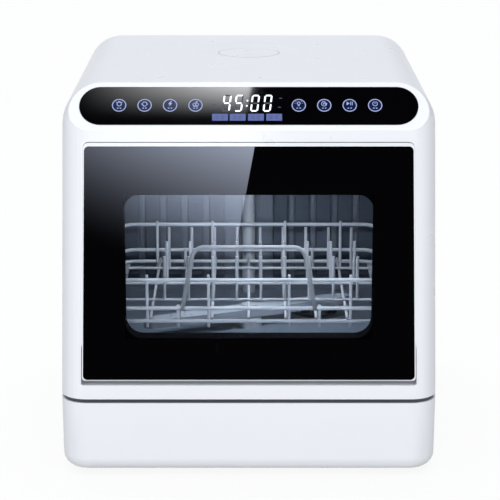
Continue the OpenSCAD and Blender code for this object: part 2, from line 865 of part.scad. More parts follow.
// Pipe up the rear wall and along the ceiling to the upper arm
module spray_feed_pipe() {
    color("gray")
    union() {
        translate([0, feed_y, feed_z0])
            cylinder(r = pipe_r, h = feed_z1 - feed_z0, $fn = 32);
        for (z = [feed_z0, feed_z1])
            translate([0, feed_y, z])
                sphere(r = pipe_r, $fn = 32);
        translate([0, tub_mid_y, feed_z1])
            rotate([-90, 0, 0])
                cylinder(r = pipe_r - 0.5, h = feed_y - tub_mid_y, $fn = 32);
        // Branch under the tub from the sump
        translate([0, feed_y, feed_z0])
            rotate([0, 90, feed_angle])
                cylinder(r = pipe_r - 0.5, h = feed_run - sump_r, $fn = 32);
        translate([0, tub_mid_y, upper_arm_z + arm_t + seat_gap])
            cylinder(r = hub_r, h = tub_z1 - upper_arm_z - arm_t - seat_gap, $fn = 48);
        translate([0, tub_mid_y, upper_arm_z - seat_gap])
            cylinder(r = 6, h = arm_t + 4, $fn = 48);
        translate([0, tub_mid_y, upper_arm_z - seat_gap - 3])
            cylinder(r = 9, h = 3, $fn = 48);
    }
}

feed_z0 = tub_z0 - tub_wall - pipe_r - 5;
feed_z1 = tub_z1 - pipe_r - 2;
feed_angle = atan2(filter_y - feed_y, filter_x);
feed_run = norm([filter_x, filter_y - feed_y]);

// ---- Pumps, heater and tank ----

base_floor = foot_h + wall;
pump_r = 27;
pump_foot_r = 20;
pump_foot_h = 6;
pump_motor_h = 37;
pump_outlet_r = 7;
pump_outlet_z = sump_z0 - 12;
hub_angle = atan2(tub_mid_y - filter_y, -filter_x);
hub_run = norm([filter_x, filter_y - tub_mid_y]);
drain_x = body_w / 2 - 47;
drain_y = -30;
drain_pump_r = 19;
drain_pump_z = base_floor + 24;
heater_r = 15;
heater_l = 90;
heater_x = -60;
heater_y = tub_y1 - 26;
heater_z = base_floor + 26;
heater_foot = 12;

pump_head_z = base_floor + pump_foot_h + pump_motor_h - 2 * cut;

module circulation_pump() {
    color("dimgray")
    union() {
        translate([filter_x, filter_y, base_floor])
            cylinder(r = pump_foot_r, h = pump_foot_h, $fn = 32);
        translate([filter_x, filter_y, base_floor + pump_foot_h - cut])
            cylinder(r = pump_r, h = pump_motor_h, $fn = 48);
        translate([filter_x, filter_y, pump_head_z])
            cylinder(r = pump_r + 6, h = sump_z0 - pump_head_z, $fn = 48);
        // Outlet pipe to the underside of the spray hub
        translate([filter_x, filter_y, pump_outlet_z])
            rotate([0, 90, hub_angle])
                cylinder(r = pump_outlet_r, h = hub_run, $fn = 32);
        translate([0, tub_mid_y, pump_outlet_z])
            sphere(r = pump_outlet_r + 0.5, $fn = 32);
        translate([0, tub_mid_y, pump_outlet_z])
            cylinder(r = pump_outlet_r, h = 24, $fn = 32);
    }
}

module drain_pump() {
    color("black")
    union() {
        translate([drain_x - drain_pump_r + 2, drain_y + 2, base_floor])
            cube([2 * (drain_pump_r - 2), 56, 6]);
        translate([drain_x, drain_y, drain_pump_z])
            rotate([-90, 0, 0])
                cylinder(r = drain_pump_r, h = 40, $fn = 48);
        translate([drain_x, drain_y + 39, drain_pump_z])
            rotate([-90, 0, 0])
                cylinder(r = drain_pump_r + 3, h = 24, $fn = 48);
        // Pipe to the drain connector
        translate([drain_x + 5, drain_y + 60, connector_z - 6])
            rotate([-90, 0, 0])
                cylinder(r = 6, h = connector_back_y - drain_y - 60, $fn = 32);
    }
}

module flow_heater() {
    color("silver")
    union() {
        translate([heater_x, heater_y, heater_z])
            rotate([0, 90, 0])
                cylinder(r = heater_r, h = heater_l, $fn = 48);
        for (x = [heater_x + 10, heater_x + heater_l - 10 - heater_foot])
            translate([x, heater_y - heater_r + 5, base_floor])
                cube([heater_foot, 2 * (heater_r - 5), heater_z - base_floor - 4]);
    }
}

// Hollow tank with a neck under the funnel
module water_tank() {
    color("aliceblue")
    difference() {
        union() {
            translate([0, 0, tank_z0])
                linear_extrude(tank_z1 - tank_z0)
                    polygon([[-tank_half, tank_y0], [tank_half, tank_y0],
                        [tank_half, tank_y0 + tank_d - 18], [tank_half - 12, tank_y0 + tank_d],
                        [12 - tank_half, tank_y0 + tank_d], [-tank_half, tank_y0 + tank_d - 18]]);
            translate([0, tank_neck_y, tank_z1 - cut])
                cylinder(r = 16, h = 6 + cut, $fn = 48);
        }
        translate([0, 0, tank_z0 + 3])
            linear_extrude(tank_z1 - tank_z0 - 6)
                polygon([[3 - tank_half, tank_y0 + 3], [tank_half - 3, tank_y0 + 3],
                    [tank_half - 3, tank_y0 + tank_d - 20], [tank_half - 14, tank_y0 + tank_d - 3],
                    [14 - tank_half, tank_y0 + tank_d - 3], [3 - tank_half, tank_y0 + tank_d - 20]]);
        translate([0, tank_neck_y, tank_z1 - 4])
            cylinder(r = 12, h = 12, $fn = 48);
    }
}

tank_neck_y = tank_y0 + 24;
funnel_z1 = body_h - dish_depth - dish_floor;
funnel_z0 = tank_z1 + 6;

funnel_half = inlet_r + 5;
cup_floor_z = funnel_z0 + 8;
chute_half = 18;
chute_h = 20;

// Square cup below the inlet with a chute back to the neck of the tank
module fill_funnel() {
    color("white")
    difference() {
        union() {
            translate([-funnel_half, cap_y - funnel_half, cup_floor_z])
                cube([2 * funnel_half, 2 * funnel_half, funnel_z1 - cup_floor_z]);
            translate([-chute_half, cap_y, funnel_z0])
                cube([2 * chute_half, tank_neck_y - cap_y + chute_half, chute_h]);
        }
        translate([wall - funnel_half, cap_y - funnel_half + wall, cup_floor_z + wall])
            cube([2 * (funnel_half - wall), 2 * (funnel_half - wall), funnel_z1]);
        translate([wall - chute_half, cap_y, funnel_z0 + wall])
            cube([2 * (chute_half - wall), tank_neck_y - cap_y + chute_half - wall, chute_h - 2 * wall]);
        translate([0, tank_neck_y, funnel_z0 - cut])
            cylinder(r = 12, h = 6, $fn = 48);
    }
}

module fill_cap() {
    color("white")
    translate([0, cap_y, cap_seat_z + seat_gap])
        difference() {
            union() {
                cylinder(d = cap_d, h = 2.5, $fn = 96);
                translate([0, 0, -9])
                    cylinder(r = inlet_r - slide_gap, h = 9 + cut, $fn = 64);
            }
            translate([0, 0, -9 - cut])
                cylinder(r = inlet_r - slide_gap - 2, h = 9 + cut, $fn = 64);
            // Finger hollows either side of the grip ridge
            for (sy = [-1, 1])
                translate([0, sy * (cap_d / 4 - 2), 2.5 + 20])
                    sphere(r = 21.5, $fn = 48);
        }
}

// ---- Drying fan ----

fan_x = -112;
fan_y = 40;
fan_z0 = tub_z1 + tub_wall;
fan_h = 28;

fan_wall = 3;
fan_case_r = fan_d / 2 + 2 * fan_wall;
fan_eye_r = 13;
fan_socket_h = 8;
fan_shaft_r = 2;

// Round case with a side outlet, and the socket of the rotor on three spokes
module fan_housing() {
    color("black")
    translate([fan_x, fan_y, fan_z0])
        union() {
            difference() {
                union() {
                    cylinder(r = fan_case_r, h = fan_h, $fn = 64);
                    translate([0, 2 - fan_case_r, 0])
                        cube([fan_case_r + 8, fan_case_r - 2, fan_h]);
                }
                translate([0, 0, fan_wall])
                    cylinder(r = fan_case_r - fan_wall, h = fan_h - 2 * fan_wall, $fn = 64);
                translate([0, 2 + fan_wall - fan_case_r, fan_wall])
                    cube([fan_case_r + 8 + cut, fan_case_r - 2 - 2 * fan_wall, fan_h - 2 * fan_wall]);
                translate([0, 0, fan_h - fan_wall - cut])
                    cylinder(r = fan_d / 2 - 8, h = fan_wall + 2 * cut, $fn = 64);
                translate([0, 0, -cut])
                    cylinder(r = fan_eye_r, h = fan_wall + 2 * cut, $fn = 48);
            }
            difference() {
                union() {
                    cylinder(r = 5, h = fan_socket_h, $fn = 32);
                    for (a = [60, 180, 300])
                        rotate([0, 0, a])
                            translate([0, -1.5, 0.5])
                                cube([fan_eye_r + 2, 3, 2]);
                }
                translate([0, 0, fan_wall])
                    cylinder(r = fan_shaft_r + fit_gap, h = fan_socket_h, $fn = 32);
            }
        }
}

module fan_rotor() {
    color("dimgray")
    translate([fan_x, fan_y, fan_z0 + fan_socket_h + seat_gap])
        difference() {
            union() {
                cylinder(d = fan_d, h = 1.5, $fn = 64);
                cylinder(r = 9, h = 12, $fn = 32);
                translate([0, 0, -4])
                    cylinder(r = fan_shaft_r, h = 5, $fn = 32);
                for (i = [0 : 15])
                    rotate([0, 0, i * 22.5])
                        translate([fan_d / 2 - 11, 0, 1])
                            rotate([0, 0, 35])
                                translate([0, -0.6, 0])
                                    cube([10, 1.2, 13]);
            }
            translate([0, 0, 6])
                cylinder(r = 6, h = 10, $fn = 32);
        }
}

power_board_x = -body_w / 2 + 70;
power_board_y = front_y + 75;
power_board_w = 120;
power_board_d = 84;
power_board_post = 8;

module power_board() {
    color("seagreen")
    translate([power_board_x, power_board_y, base_floor])
        union() {
            translate([0, 0, power_board_post])
                cube([power_board_w, power_board_d, board_t]);
            for (x = [6, power_board_w - 6], y = [6, power_board_d - 6])
                translate([x, y, 0])
                    cylinder(r = 4, h = power_board_post + 0.5, $fn = 24);
            // Transformer, relay and capacitors
            translate([10, 14, power_board_post + cut])
                cube([34, 28, 26]);
            translate([56, 14, power_board_post + cut])
                cube([20, 16, 18]);
            for (x = [86, 102])
                translate([x, 56, power_board_post + cut])
                    cylinder(r = 6, h = 22, $fn = 32);
        }
}

// Float that rises on its spindle if water gathers in the base
module leak_float() {
    color("orange")
    translate([float_x, float_y, base_floor + float_rest])
        difference() {
            cylinder(r = 14, h = 9, $fn = 48);
            translate([0, 0, -cut])
                cylinder(r = float_pin_r + fit_gap, h = 9 + 2 * cut, $fn = 24);
        }
}

module connector(x, r, length, barbs) {
    back = wall + connector_flange;
    translate([x, connector_back_y, connector_z])
        rotate([-90, 0, 0])
            difference() {
                union() {
                    cylinder(r = connector_seat_r + 4, h = connector_flange, $fn = 32);
                    cylinder(r = connector_seat_r - fit_gap, h = back, $fn = 32);
                    cylinder(r = r, h = back + length, $fn = 32);
                    for (i = [1 : barbs])
                        translate([0, 0, back + length - i * 4])
                            cylinder(r1 = r + 1.2, r2 = r, h = 3, $fn = 32);
                }
                translate([0, 0, connector_flange])
                    cylinder(r = r - 2, h = back + length, $fn = 32);
            }
}

module drain_connector() color("gray") connector(connector_x[2], 8, 15, 3);
module inlet_connector() color("silver") connector(connector_x[1], 8.5, 14, 0);
module power_gland() color("black") connector(connector_x[0], 7, 10, 2);

// ---- Door ----

module window_outline(grow) {
    square_outline(window_w / 2 + grow, window_z0 - grow, window_z1 + grow, window_r + grow);
}

// Rounds the lower front edge about the hinge axis
module door_block(margin, y0, y1, z0, z1, r) {
    intersection() {
        upright(y0, y1)
            drafted_outline(margin, z0, z1, r);
        union() {
            translate([-body_w / 2, hinge_y, hinge_z])
                rotate([0, 90, 0])
                    cylinder(r = hinge_r, h = body_w, $fn = 64);
            translate([-body_w / 2, hinge_y, 0])
                cube([body_w, body_d, body_h]);
            translate([-body_w / 2, front_y - cut, hinge_z])
                cube([body_w, body_d, body_h]);
        }
    }
}

module door_frame() {
    color("white")
    difference() {
        door_block(door_margin, front_y, door_back_y - liner_t, door_z0, door_z1, door_corner_r);
        for (p = door_screw_places)
            translate([p[0], door_back_y - liner_t + cut, p[1]])
                rotate([90, 0, 0])
                    cylinder(r = screw_r + fit_gap, h = door_screw_l + cut, $fn = 24);
        // Seat of the glass
        upright(front_y - cut, plate_y)
            drafted_outline(door_margin + door_rim - fit_gap, glass_z0 - fit_gap, glass_z1 + fit_gap,
                glass_corner_r);
        // Hollow behind the front plate
        difference() {
            upright(plate_y + frame_t, door_back_y - liner_t + cut)
                drafted_outline(door_margin + frame_t, hinge_z + hinge_pin_d / 2 + frame_t, door_z1 - frame_t,
                    door_corner_r - frame_t);
            // Bosses for the screws of the inner skin
            for (p = door_screw_places)
                translate([p[0], door_back_y - liner_t, p[1]])
                    rotate([90, 0, 0])
                        cylinder(r = head_r + 1, h = door_t, $fn = 32);
        }
        upright(plate_y - cut, plate_y + frame_t + cut)
            window_outline(0);
        for (sx = [-1, 1])
            translate([sx * (shell_half(hinge_z) - door_margin - pin_seat), hinge_y, hinge_z])
                rotate([0, sx * 90, 0])
                    cylinder(d = hinge_pin_d + 2 * fit_gap, h = pin_seat + cut, $fn = 48);
    }
}

pin_seat = 14;

module door_glass() {
    color("black", 0.5)
    upright(front_y, front_y + glass_t)
        drafted_outline(door_margin + door_rim, glass_z0, glass_z1, glass_corner_r);
}

module window_mask() {
    color("black")
    upright(front_y + glass_t, plate_y)
        difference() {
            drafted_outline(door_margin + door_rim, glass_z0, glass_z1, glass_corner_r);
            window_outline(0);
        }
}

// Frame between the two panes
module window_spacer() {
    color("black")
    upright(plate_y + frame_t, door_back_y - pane_t)
        difference() {
            window_outline(spacer_wall);
            window_outline(0);
        }
}

module inner_window() {
    color("lightblue", 0.4)
    upright(door_back_y - pane_t, door_back_y)
        window_outline(spacer_wall + 2);
}

module door_liner() {
    color("slategray")
    difference() {
        upright(door_back_y - liner_t, door_back_y)
            drafted_outline(door_margin + 1, liner_z0, liner_z1, door_corner_r);
        upright(door_back_y - liner_t - cut, door_back_y + cut)
            window_outline(spacer_wall + 2 + fit_gap);
        translate([cup_x - cup_w / 2 - fit_gap, door_back_y - liner_t - cut, cup_z - fit_gap])
            cube([cup_w + 2 * fit_gap, liner_t + 2 * cut, cup_h + 2 * fit_gap]);
        for (p = door_screw_places)
            translate([p[0], door_back_y - liner_t - cut, p[1]])
                rotate([-90, 0, 0]) {
                    cylinder(r = screw_r + fit_gap, h = liner_t + 2 * cut, $fn = 24);
                    translate([0, 0, cut + liner_t - door_head_h])
                        cylinder(r = head_r + fit_gap, h = door_head_h + cut, $fn = 24);
                }
    }
}

cup_w = 62;
cup_h = 24;
cup_x = 0;
cup_z = window_z1 + 12;

// Open tray for the detergent, set into the inner skin
module detergent_cup() {
    color("gray")
    difference() {
        translate([cup_x - cup_w / 2, door_back_y - 16, cup_z])
            cube([cup_w, 16, cup_h]);
        translate([cup_x - cup_w / 2 + 2, door_back_y - 14, cup_z + 2])
            cube([cup_w / 2 - 3, 14 + cut, cup_h - 4]);
        translate([cup_x + 1, door_back_y - 14, cup_z + 2])
            cube([cup_w / 2 - 3, 14 + cut, cup_h - 4]);
    }
}

module latch_hook() {
    color("dimgray")
    union() {
        translate([-latch_w / 2, door_back_y, door_z1 - 1 - latch_h])
            cube([latch_w, 1.5, latch_h]);
        translate([-latch_w / 2, door_back_y, door_z1 - 1 - latch_t])
            cube([latch_w, latch_reach + seal_t + flange_t - 2, latch_t]);
        translate([-latch_w / 2, tub_y0 + flange_t + latch_reach - 6, door_z1 - 1 - latch_h])
            cube([latch_w, 4, latch_h]);
    }
}

module hinge_pin(sx) {
    color("silver")
    translate([sx * (shell_half(hinge_z) - door_margin - pin_seat), hinge_y, hinge_z])
        rotate([0, sx * 90, 0])
            cylinder(d = hinge_pin_d, h = pin_seat + door_gap + pin_reach, $fn = 48);
}

module hinge_pin_left() hinge_pin(-1);
module hinge_pin_right() hinge_pin(1);

door_screw_places = [for (sx = [-1, 1], z = [liner_z0 + 12, (liner_z0 + liner_z1) / 2, liner_z1 - 12])
    [sx * (shell_half(z) - door_margin - 10), z]];
door_head_h = 1.5;
door_screw_l = 10;

module door_screws() {
    color("silver")
    for (p = door_screw_places)
        translate([p[0], door_back_y - door_head_h, p[1]])
            rotate([-90, 0, 0]) {
                cylinder(r = head_r, h = door_head_h, $fn = 24);
                translate([0, 0, -door_screw_l])
                    cylinder(r = screw_r, h = door_screw_l, $fn = 24);
            }
}

// ---- Rack ----

module wire_x(x0, x1, y, z, d) {
    translate([x0, y, z])
        rotate([0, 90, 0])
            cylinder(d = d, h = x1 - x0, $fn = 24);
}

module wire_y(x, y0, y1, z, d) {
    translate([x, y0, z])
        rotate([-90, 0, 0])
            cylinder(d = d, h = y1 - y0, $fn = 24);
}

module wire_z(x, y, z0, z1, d) {
    translate([x, y, z0])
        cylinder(d = d, h = z1 - z0, $fn = 24);
}

// Closed wire loop with round corners, lying flat
module wire_loop(z, d) {
    x = rack_w / 2 - rack_corner_r;
    y0 = rack_y0 + rack_corner_r;
    y1 = rack_y1 - rack_corner_r;
    wire_x(-x, x, rack_y0, z, d);
    wire_x(-x, x, rack_y1, z, d);
    for (sx = [-1, 1])
        wire_y(sx * rack_w / 2, y0, y1, z, d);
    for (place = [[x, y1, 0], [-x, y1, 90], [-x, y0, 180], [x, y0, 270]])
        translate([place[0], place[1], z])
            rotate([0, 0, place[2]])
                rotate_extrude(angle = 90, $fn = 48)
                    translate([rack_corner_r, 0])
                        circle(d = d, $fn = 24);
}

module rack_rails() {
    color("lightgray")
    union() {
        wire_loop(rack_top_z, rail_wire_d);
        wire_loop(rack_mid_z, rail_wire_d);
        wire_loop(rack_z0, rail_wire_d);
    }
}

front_upright_x = [-115, -45.5, 45.5, 115];
short_upright_x = [-80, 80];
upright_in = (rail_wire_d + thin_wire_d) / 2 - weld;
upright_drop = 8;
upright_rise = 5;
short_rise = 3;
floor_wire_z = rack_z0 + upright_in;
floor_wire_shift = thin_wire_d + seat_gap;

// Upright wires on the inside of the rails
module rack_wires() {
    color("lightgray")
    union() {
        for (y = [rack_y0 + upright_in, rack_y1 - upright_in]) {
            for (x = front_upright_x)
                wire_z(x, y, rack_z0 - upright_drop, rack_top_z + upright_rise, thin_wire_d);
            for (x = short_upright_x)
                wire_z(x, y, rack_z0 - upright_drop, rack_mid_z + short_rise, thin_wire_d);
        }
        for (sx = [-1, 1], y = [rack_y0 + 45 : (rack_d - 90) / 3 : rack_y1 - 44])
            wire_z(sx * (rack_w / 2 - upright_in), y, rack_z0 - 1, rack_top_z + 1, thin_wire_d);
    }
}

// Wires from front to rear across the bottom rail, one beside each upright
module rack_floor_wires() {
    color("lightgray")
    union() {
        for (x = concat(front_upright_x, short_upright_x))
            wire_y(x - sign(x) * floor_wire_shift, rack_y0 - 1, rack_y1 + 1, floor_wire_z, thin_wire_d);
        wire_y(0, rack_y0 - 1, rack_y1 + 1, floor_wire_z, thin_wire_d);
    }
}

tine_rows = [for (i = [0 : 2]) rack_y0 + tine_row_start + i * tine_row_pitch];
tine_row_z = floor_wire_z + thin_wire_d - weld;

// Cross wires with upright tines between the dishes
module rack_tines() {
    color("lightgray")
    for (y = tine_rows)
        union() {
            wire_x(4 - rack_w / 2 + rail_wire_d, rack_w / 2 - rail_wire_d - 4, y, tine_row_z, thin_wire_d);
            for (i = [-4 : 4])
                wire_z(i * tine_pitch + tine_pitch / 2, y, tine_row_z, rack_z0 + tine_h, thin_wire_d);
        }
}

handle_wire_d = 5;
handle_bend_r = 28;
handle_y = rack_y0 - (rail_wire_d + handle_wire_d) / 2 + weld;

// Arch on the front of the rack
module rack_handle() {
    color("gray")
    union() {
        for (sx = [-1, 1])
            wire_z(sx * handle_w / 2, handle_y, rack_mid_z - 2, handle_z - handle_bend_r, handle_wire_d);
        wire_x(handle_bend_r - handle_w / 2, handle_w / 2 - handle_bend_r, handle_y, handle_z, handle_wire_d);
        for (corner = [[handle_w / 2 - handle_bend_r, 0], [handle_bend_r - handle_w / 2, 90]])
            translate([corner[0], handle_y, handle_z - handle_bend_r])
                rotate([90, 0, 0])
                    rotate([0, 0, corner[1]])
                        rotate_extrude(angle = 90, $fn = 48)
                            translate([handle_bend_r, 0])
                                circle(d = handle_wire_d, $fn = 24);
    }
}

base_tray();
foot_front_left();
foot_front_right();
foot_rear_left();
foot_rear_right();
base_screws();
seam_band();
outer_shell();
rear_panel();
rear_screws();
hinge_bush_left();
hinge_bush_right();
control_lens();
touch_rings();
display_module();
control_board();
touch_springs();
latch_catch();
door_switch();
tub();
tub_seal();
rack_rail_left();
rack_rail_right();
sump();
filter_plate();
filter_basket();
arm_hub();
lower_spray_arm();
spray_feed_pipe();
upper_spray_arm();
circulation_pump();
drain_pump();
flow_heater();
water_tank();
fill_funnel();
fill_cap();
fan_housing();
fan_rotor();
power_board();
leak_float();
drain_connector();
inlet_connector();
power_gland();
door_frame();
door_glass();
window_mask();
window_spacer();
inner_window();
door_liner();
detergent_cup();
latch_hook();
hinge_pin_left();
hinge_pin_right();
door_screws();
rack_rails();
rack_wires();
rack_floor_wires();
rack_tines();
rack_handle();
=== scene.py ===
"""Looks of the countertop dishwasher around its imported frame. Metres, front towards -Y."""
import json
import math

import bpy
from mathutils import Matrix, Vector

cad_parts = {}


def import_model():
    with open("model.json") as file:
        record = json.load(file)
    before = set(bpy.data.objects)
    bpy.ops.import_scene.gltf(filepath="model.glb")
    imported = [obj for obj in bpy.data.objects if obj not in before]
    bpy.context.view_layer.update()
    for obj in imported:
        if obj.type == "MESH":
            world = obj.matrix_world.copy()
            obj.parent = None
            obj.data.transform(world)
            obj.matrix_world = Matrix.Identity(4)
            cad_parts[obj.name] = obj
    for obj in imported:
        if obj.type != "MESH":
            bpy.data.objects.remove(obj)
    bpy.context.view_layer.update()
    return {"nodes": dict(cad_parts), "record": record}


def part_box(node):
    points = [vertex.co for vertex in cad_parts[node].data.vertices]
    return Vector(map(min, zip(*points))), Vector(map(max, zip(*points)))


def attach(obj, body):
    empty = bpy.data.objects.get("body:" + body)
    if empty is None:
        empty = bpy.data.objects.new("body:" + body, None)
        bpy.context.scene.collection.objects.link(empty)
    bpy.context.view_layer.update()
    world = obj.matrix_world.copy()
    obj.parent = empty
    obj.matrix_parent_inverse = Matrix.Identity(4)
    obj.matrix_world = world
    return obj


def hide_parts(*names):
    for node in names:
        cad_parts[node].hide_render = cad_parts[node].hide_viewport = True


MM = 0.001
scene = bpy.context.scene

# ---- Camera, fitted to the photo's outline, seam, panel and touch rings ----

PHOTO_PX = 500
FOCAL_PX = 1900.3
SENSOR = 36.0
CAMERA_AT = Vector((0.0, -2.215, 0.7837))
CAMERA_PITCH = 0.2553
CAMERA_SHIFT = 0.0024
CAMERA_FAR = 60

camera_data = bpy.data.cameras.new("camera")
camera_data.sensor_width = SENSOR
camera_data.lens = FOCAL_PX / PHOTO_PX * SENSOR
camera_data.shift_x = CAMERA_SHIFT
camera_data.clip_end = CAMERA_FAR
camera = bpy.data.objects.new("camera", camera_data)
camera.location = CAMERA_AT
camera.rotation_euler = (math.pi / 2 - CAMERA_PITCH, 0, 0)
scene.collection.objects.link(camera)
scene.camera = camera
scene.view_settings.view_transform = "Standard"

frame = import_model()
nodes = frame["nodes"]

# ---- Shader nodes ----


def link(tree, source, socket):
    tree.links.new(source, socket)


def math_node(tree, operation, *values):
    """Result of a math operation on numbers and other nodes' outputs."""
    node = tree.nodes.new("ShaderNodeMath")
    node.operation = operation
    for socket, value in zip(node.inputs, values):
        if isinstance(value, (int, float)):
            socket.default_value = value
        else:
            link(tree, value, socket)
    return node.outputs["Value"]


def mix_colors(tree, factor, first, second):
    mix = tree.nodes.new("ShaderNodeMix")
    mix.data_type = "RGBA"
    mix.inputs["A"].default_value = (*first, 1)
    mix.inputs["B"].default_value = (*second, 1)
    link(tree, factor, mix.inputs["Factor"])
    return mix.outputs["Result"]


def mix_shaders(tree, factor, first, second):
    mix = tree.nodes.new("ShaderNodeMixShader")
    for socket, source in zip(mix.inputs, (factor, first, second)):
        link(tree, source, socket)
    return mix.outputs["Shader"]


def noise(tree, coords, scale, detail, stretch):
    if stretch:
        mapping = tree.nodes.new("ShaderNodeMapping")
        mapping.inputs["Scale"].default_value = stretch
        link(tree, coords, mapping.inputs["Vector"])
        coords = mapping.outputs["Vector"]
    texture = tree.nodes.new("ShaderNodeTexNoise")
    texture.inputs["Scale"].default_value = scale
    texture.inputs["Detail"].default_value = detail
    link(tree, coords, texture.inputs["Vector"])
    return texture.outputs["Fac"]


NOISE_RANGE = (0.3, 0.7)  # where nearly all of a noise's values lie


def spread(tree, source, low, high):
    """A noise stretched to run from low to high."""
    node = tree.nodes.new("ShaderNodeMapRange")
    limits = ("From Min", "From Max", "To Min", "To Max")
    for name, value in zip(limits, (*NOISE_RANGE, low, high)):
        node.inputs[name].default_value = value
    link(tree, source, node.inputs["Value"])
    return node.outputs["Result"]


# ---- Materials ----

ROUGH_VARY = 0.15
GLOSS_FINER = 4  # how much finer the gloss varies than the tone
BUMP_DEPTH = 0.0002


def make(name, color, rough, vary=0.04, tone=12, grain=900, bump=0.05, stretch=None, **sockets):
    """Principled finish with a slow change of tone, an uneven gloss and a fine surface grain."""
    material = bpy.data.materials.new(name)
    material.use_nodes = True
    tree = material.node_tree
    shader = tree.nodes["Principled BSDF"]
    coords = tree.nodes.new("ShaderNodeTexCoord").outputs["Object"]
    darker, lighter = [[min(1, c * share) for c in color] for share in (1 - vary, 1 + vary)]
    clouds = noise(tree, coords, tone, detail=4, stretch=stretch)
    link(tree, mix_colors(tree, clouds, darker, lighter), shader.inputs["Base Color"])
    gloss = noise(tree, coords, tone * GLOSS_FINER, detail=5, stretch=stretch)
    link(tree, spread(tree, gloss, rough * (1 - ROUGH_VARY), min(1, rough * (1 + ROUGH_VARY))),
         shader.inputs["Roughness"])
    if bump:
        relief = tree.nodes.new("ShaderNodeBump")
        relief.inputs["Strength"].default_value = bump
        relief.inputs["Distance"].default_value = BUMP_DEPTH
        link(tree, noise(tree, coords, grain, detail=2, stretch=stretch),
             relief.inputs["Height"])
        link(tree, relief.outputs["Normal"], shader.inputs["Normal"])
    for socket, value in sockets.items():
        shader.inputs[socket.replace("_", " ")].default_value = value
    return material


def surface_of(tree):
    """The socket that gives a material its surface, and what is linked to it so far."""
    socket = tree.nodes["Material Output"].inputs["Surface"]
    return socket, socket.links[0].from_socket


SHADOW_TINT = (0.72, 0.74, 0.77, 1)


def let_light_through(material):
    """Glass that shadow rays pass, so that what is behind it is lit."""
    tree = material.node_tree
    socket, surface = surface_of(tree)
    clear = tree.nodes.new("ShaderNodeBsdfTransparent")
    clear.inputs["Color"].default_value = SHADOW_TINT
    path = tree.nodes.new("ShaderNodeLightPath")
    link(tree, mix_shaders(tree, path.outputs["Is Shadow Ray"], surface, clear.outputs["BSDF"]),
         socket)
    return material


HOUSING = dict(color=(0.80, 0.815, 0.85), rough=0.32, vary=0.012, tone=7, bump=0,
               Coat_Weight=0.2, Coat_Roughness=0.12)
GLASS_IOR = 1.45
CLEAR = dict(color=(0.86, 0.88, 0.90), rough=0.01, vary=0.01, tone=3, bump=0,
             Transmission_Weight=1.0)

WHITE = make("housing_white", **HOUSING)
SERVICE = make("panel_white", (0.66, 0.67, 0.69), 0.5, vary=0.03, grain=1100, bump=0.1)
SEAM = make("seam_black", (0.050, 0.055, 0.064), 0.5, vary=0.2, grain=1200, bump=0.12)
RUBBER = make("foot_rubber", (0.03, 0.03, 0.032), 0.85, vary=0.2, grain=700, bump=0.3)
SEAL = make("seal_grey", (0.06, 0.065, 0.075), 0.75, vary=0.15, grain=900, bump=0.25)
STEEL = make("screw_steel", (0.62, 0.63, 0.65), 0.28, vary=0.06, tone=60, grain=1500, bump=0.1,
             Metallic=1.0)
PIN = make("pin_steel", (0.68, 0.68, 0.7), 0.2, vary=0.04, tone=80, stretch=(1, 8, 8),
           Metallic=1.0)
BUSH = make("bush_plastic", (0.62, 0.62, 0.6), 0.55, vary=0.05)
LENS = make("panel_lens", (0.001, 0.001, 0.0015), 0.045, vary=0.3, tone=5, bump=0,
            Specular_IOR_Level=0.5)
PRINT = make("touch_print", (0.29, 0.345, 0.58), 0.4, vary=0.10, tone=90, grain=3000,
             Emission_Color=(0.45, 0.52, 0.85, 1), Emission_Strength=0.08)
KEY_DARK = make("key_dark", (0.005, 0.011, 0.050), 0.10, vary=0.4, tone=70, bump=0,
                Specular_IOR_Level=0.25)
DISPLAY = make("display_dark", (0.0008, 0.001, 0.002), 0.045, vary=0.3, tone=40, bump=0,
               Specular_IOR_Level=0.5)
DIGIT = make("display_digit", (0.9, 0.93, 0.95), 0.4, vary=0.03, tone=120, bump=0,
             Emission_Color=(0.95, 0.97, 1.0, 1), Emission_Strength=0.6)
DIM = make("display_dim", (0.05, 0.055, 0.09), 0.4, vary=0.15, tone=120, bump=0)
BAR = make("display_bar", (0.065, 0.090, 0.265), 0.4, vary=0.25, tone=160, bump=0,
           Emission_Color=(0.10, 0.13, 0.33, 1), Emission_Strength=0.18)
BOARD = make("board_green", (0.02, 0.12, 0.06), 0.45, vary=0.25, tone=150, grain=1500, bump=0.2)
SPRING = make("spring_metal", (0.7, 0.52, 0.24), 0.25, vary=0.08, tone=90, Metallic=1.0)
INNER_DARK = make("inner_dark", (0.03, 0.034, 0.04), 0.42, vary=0.15, bump=0.12)
SWITCH = make("switch_red", (0.28, 0.03, 0.025), 0.4, vary=0.1)
TUB = make("tub_slate", (0.078, 0.094, 0.120), 0.38, vary=0.10, tone=9, grain=800, bump=0.06,
           Coat_Weight=0.25, Coat_Roughness=0.2)
# A darker, less glossy copy of the tub's slate: painted shade that darkens the rear wall's ribs
SHADED_RIBS = make("tub_ribs_painted_shade", (0.046, 0.056, 0.074), 0.5, vary=0.12, tone=9, grain=800,
            bump=0.06, Specular_IOR_Level=0.12)
INNER = make("inner_grey", (0.26, 0.275, 0.30), 0.45, vary=0.06, bump=0.1)
FILTER_STEEL = make("filter_steel", (0.55, 0.56, 0.58), 0.33, vary=0.08, tone=40,
                    stretch=(1, 12, 1), Metallic=1.0)
ARM = make("arm_plastic", (0.20, 0.225, 0.26), 0.42, vary=0.05, bump=0.08)
PUMP = make("pump_dark", (0.02, 0.021, 0.024), 0.5, vary=0.2, bump=0.15)
HEATER = make("heater_steel", (0.5, 0.5, 0.5), 0.3, vary=0.12, tone=30, stretch=(10, 1, 1),
              Metallic=1.0)
TANK = make("tank_clear", (0.66, 0.72, 0.76), 0.35, bump=0.04, Subsurface_Weight=0.3)
FLOAT = make("float_orange", (0.6, 0.16, 0.02), 0.6, vary=0.08, grain=500, bump=0.3)
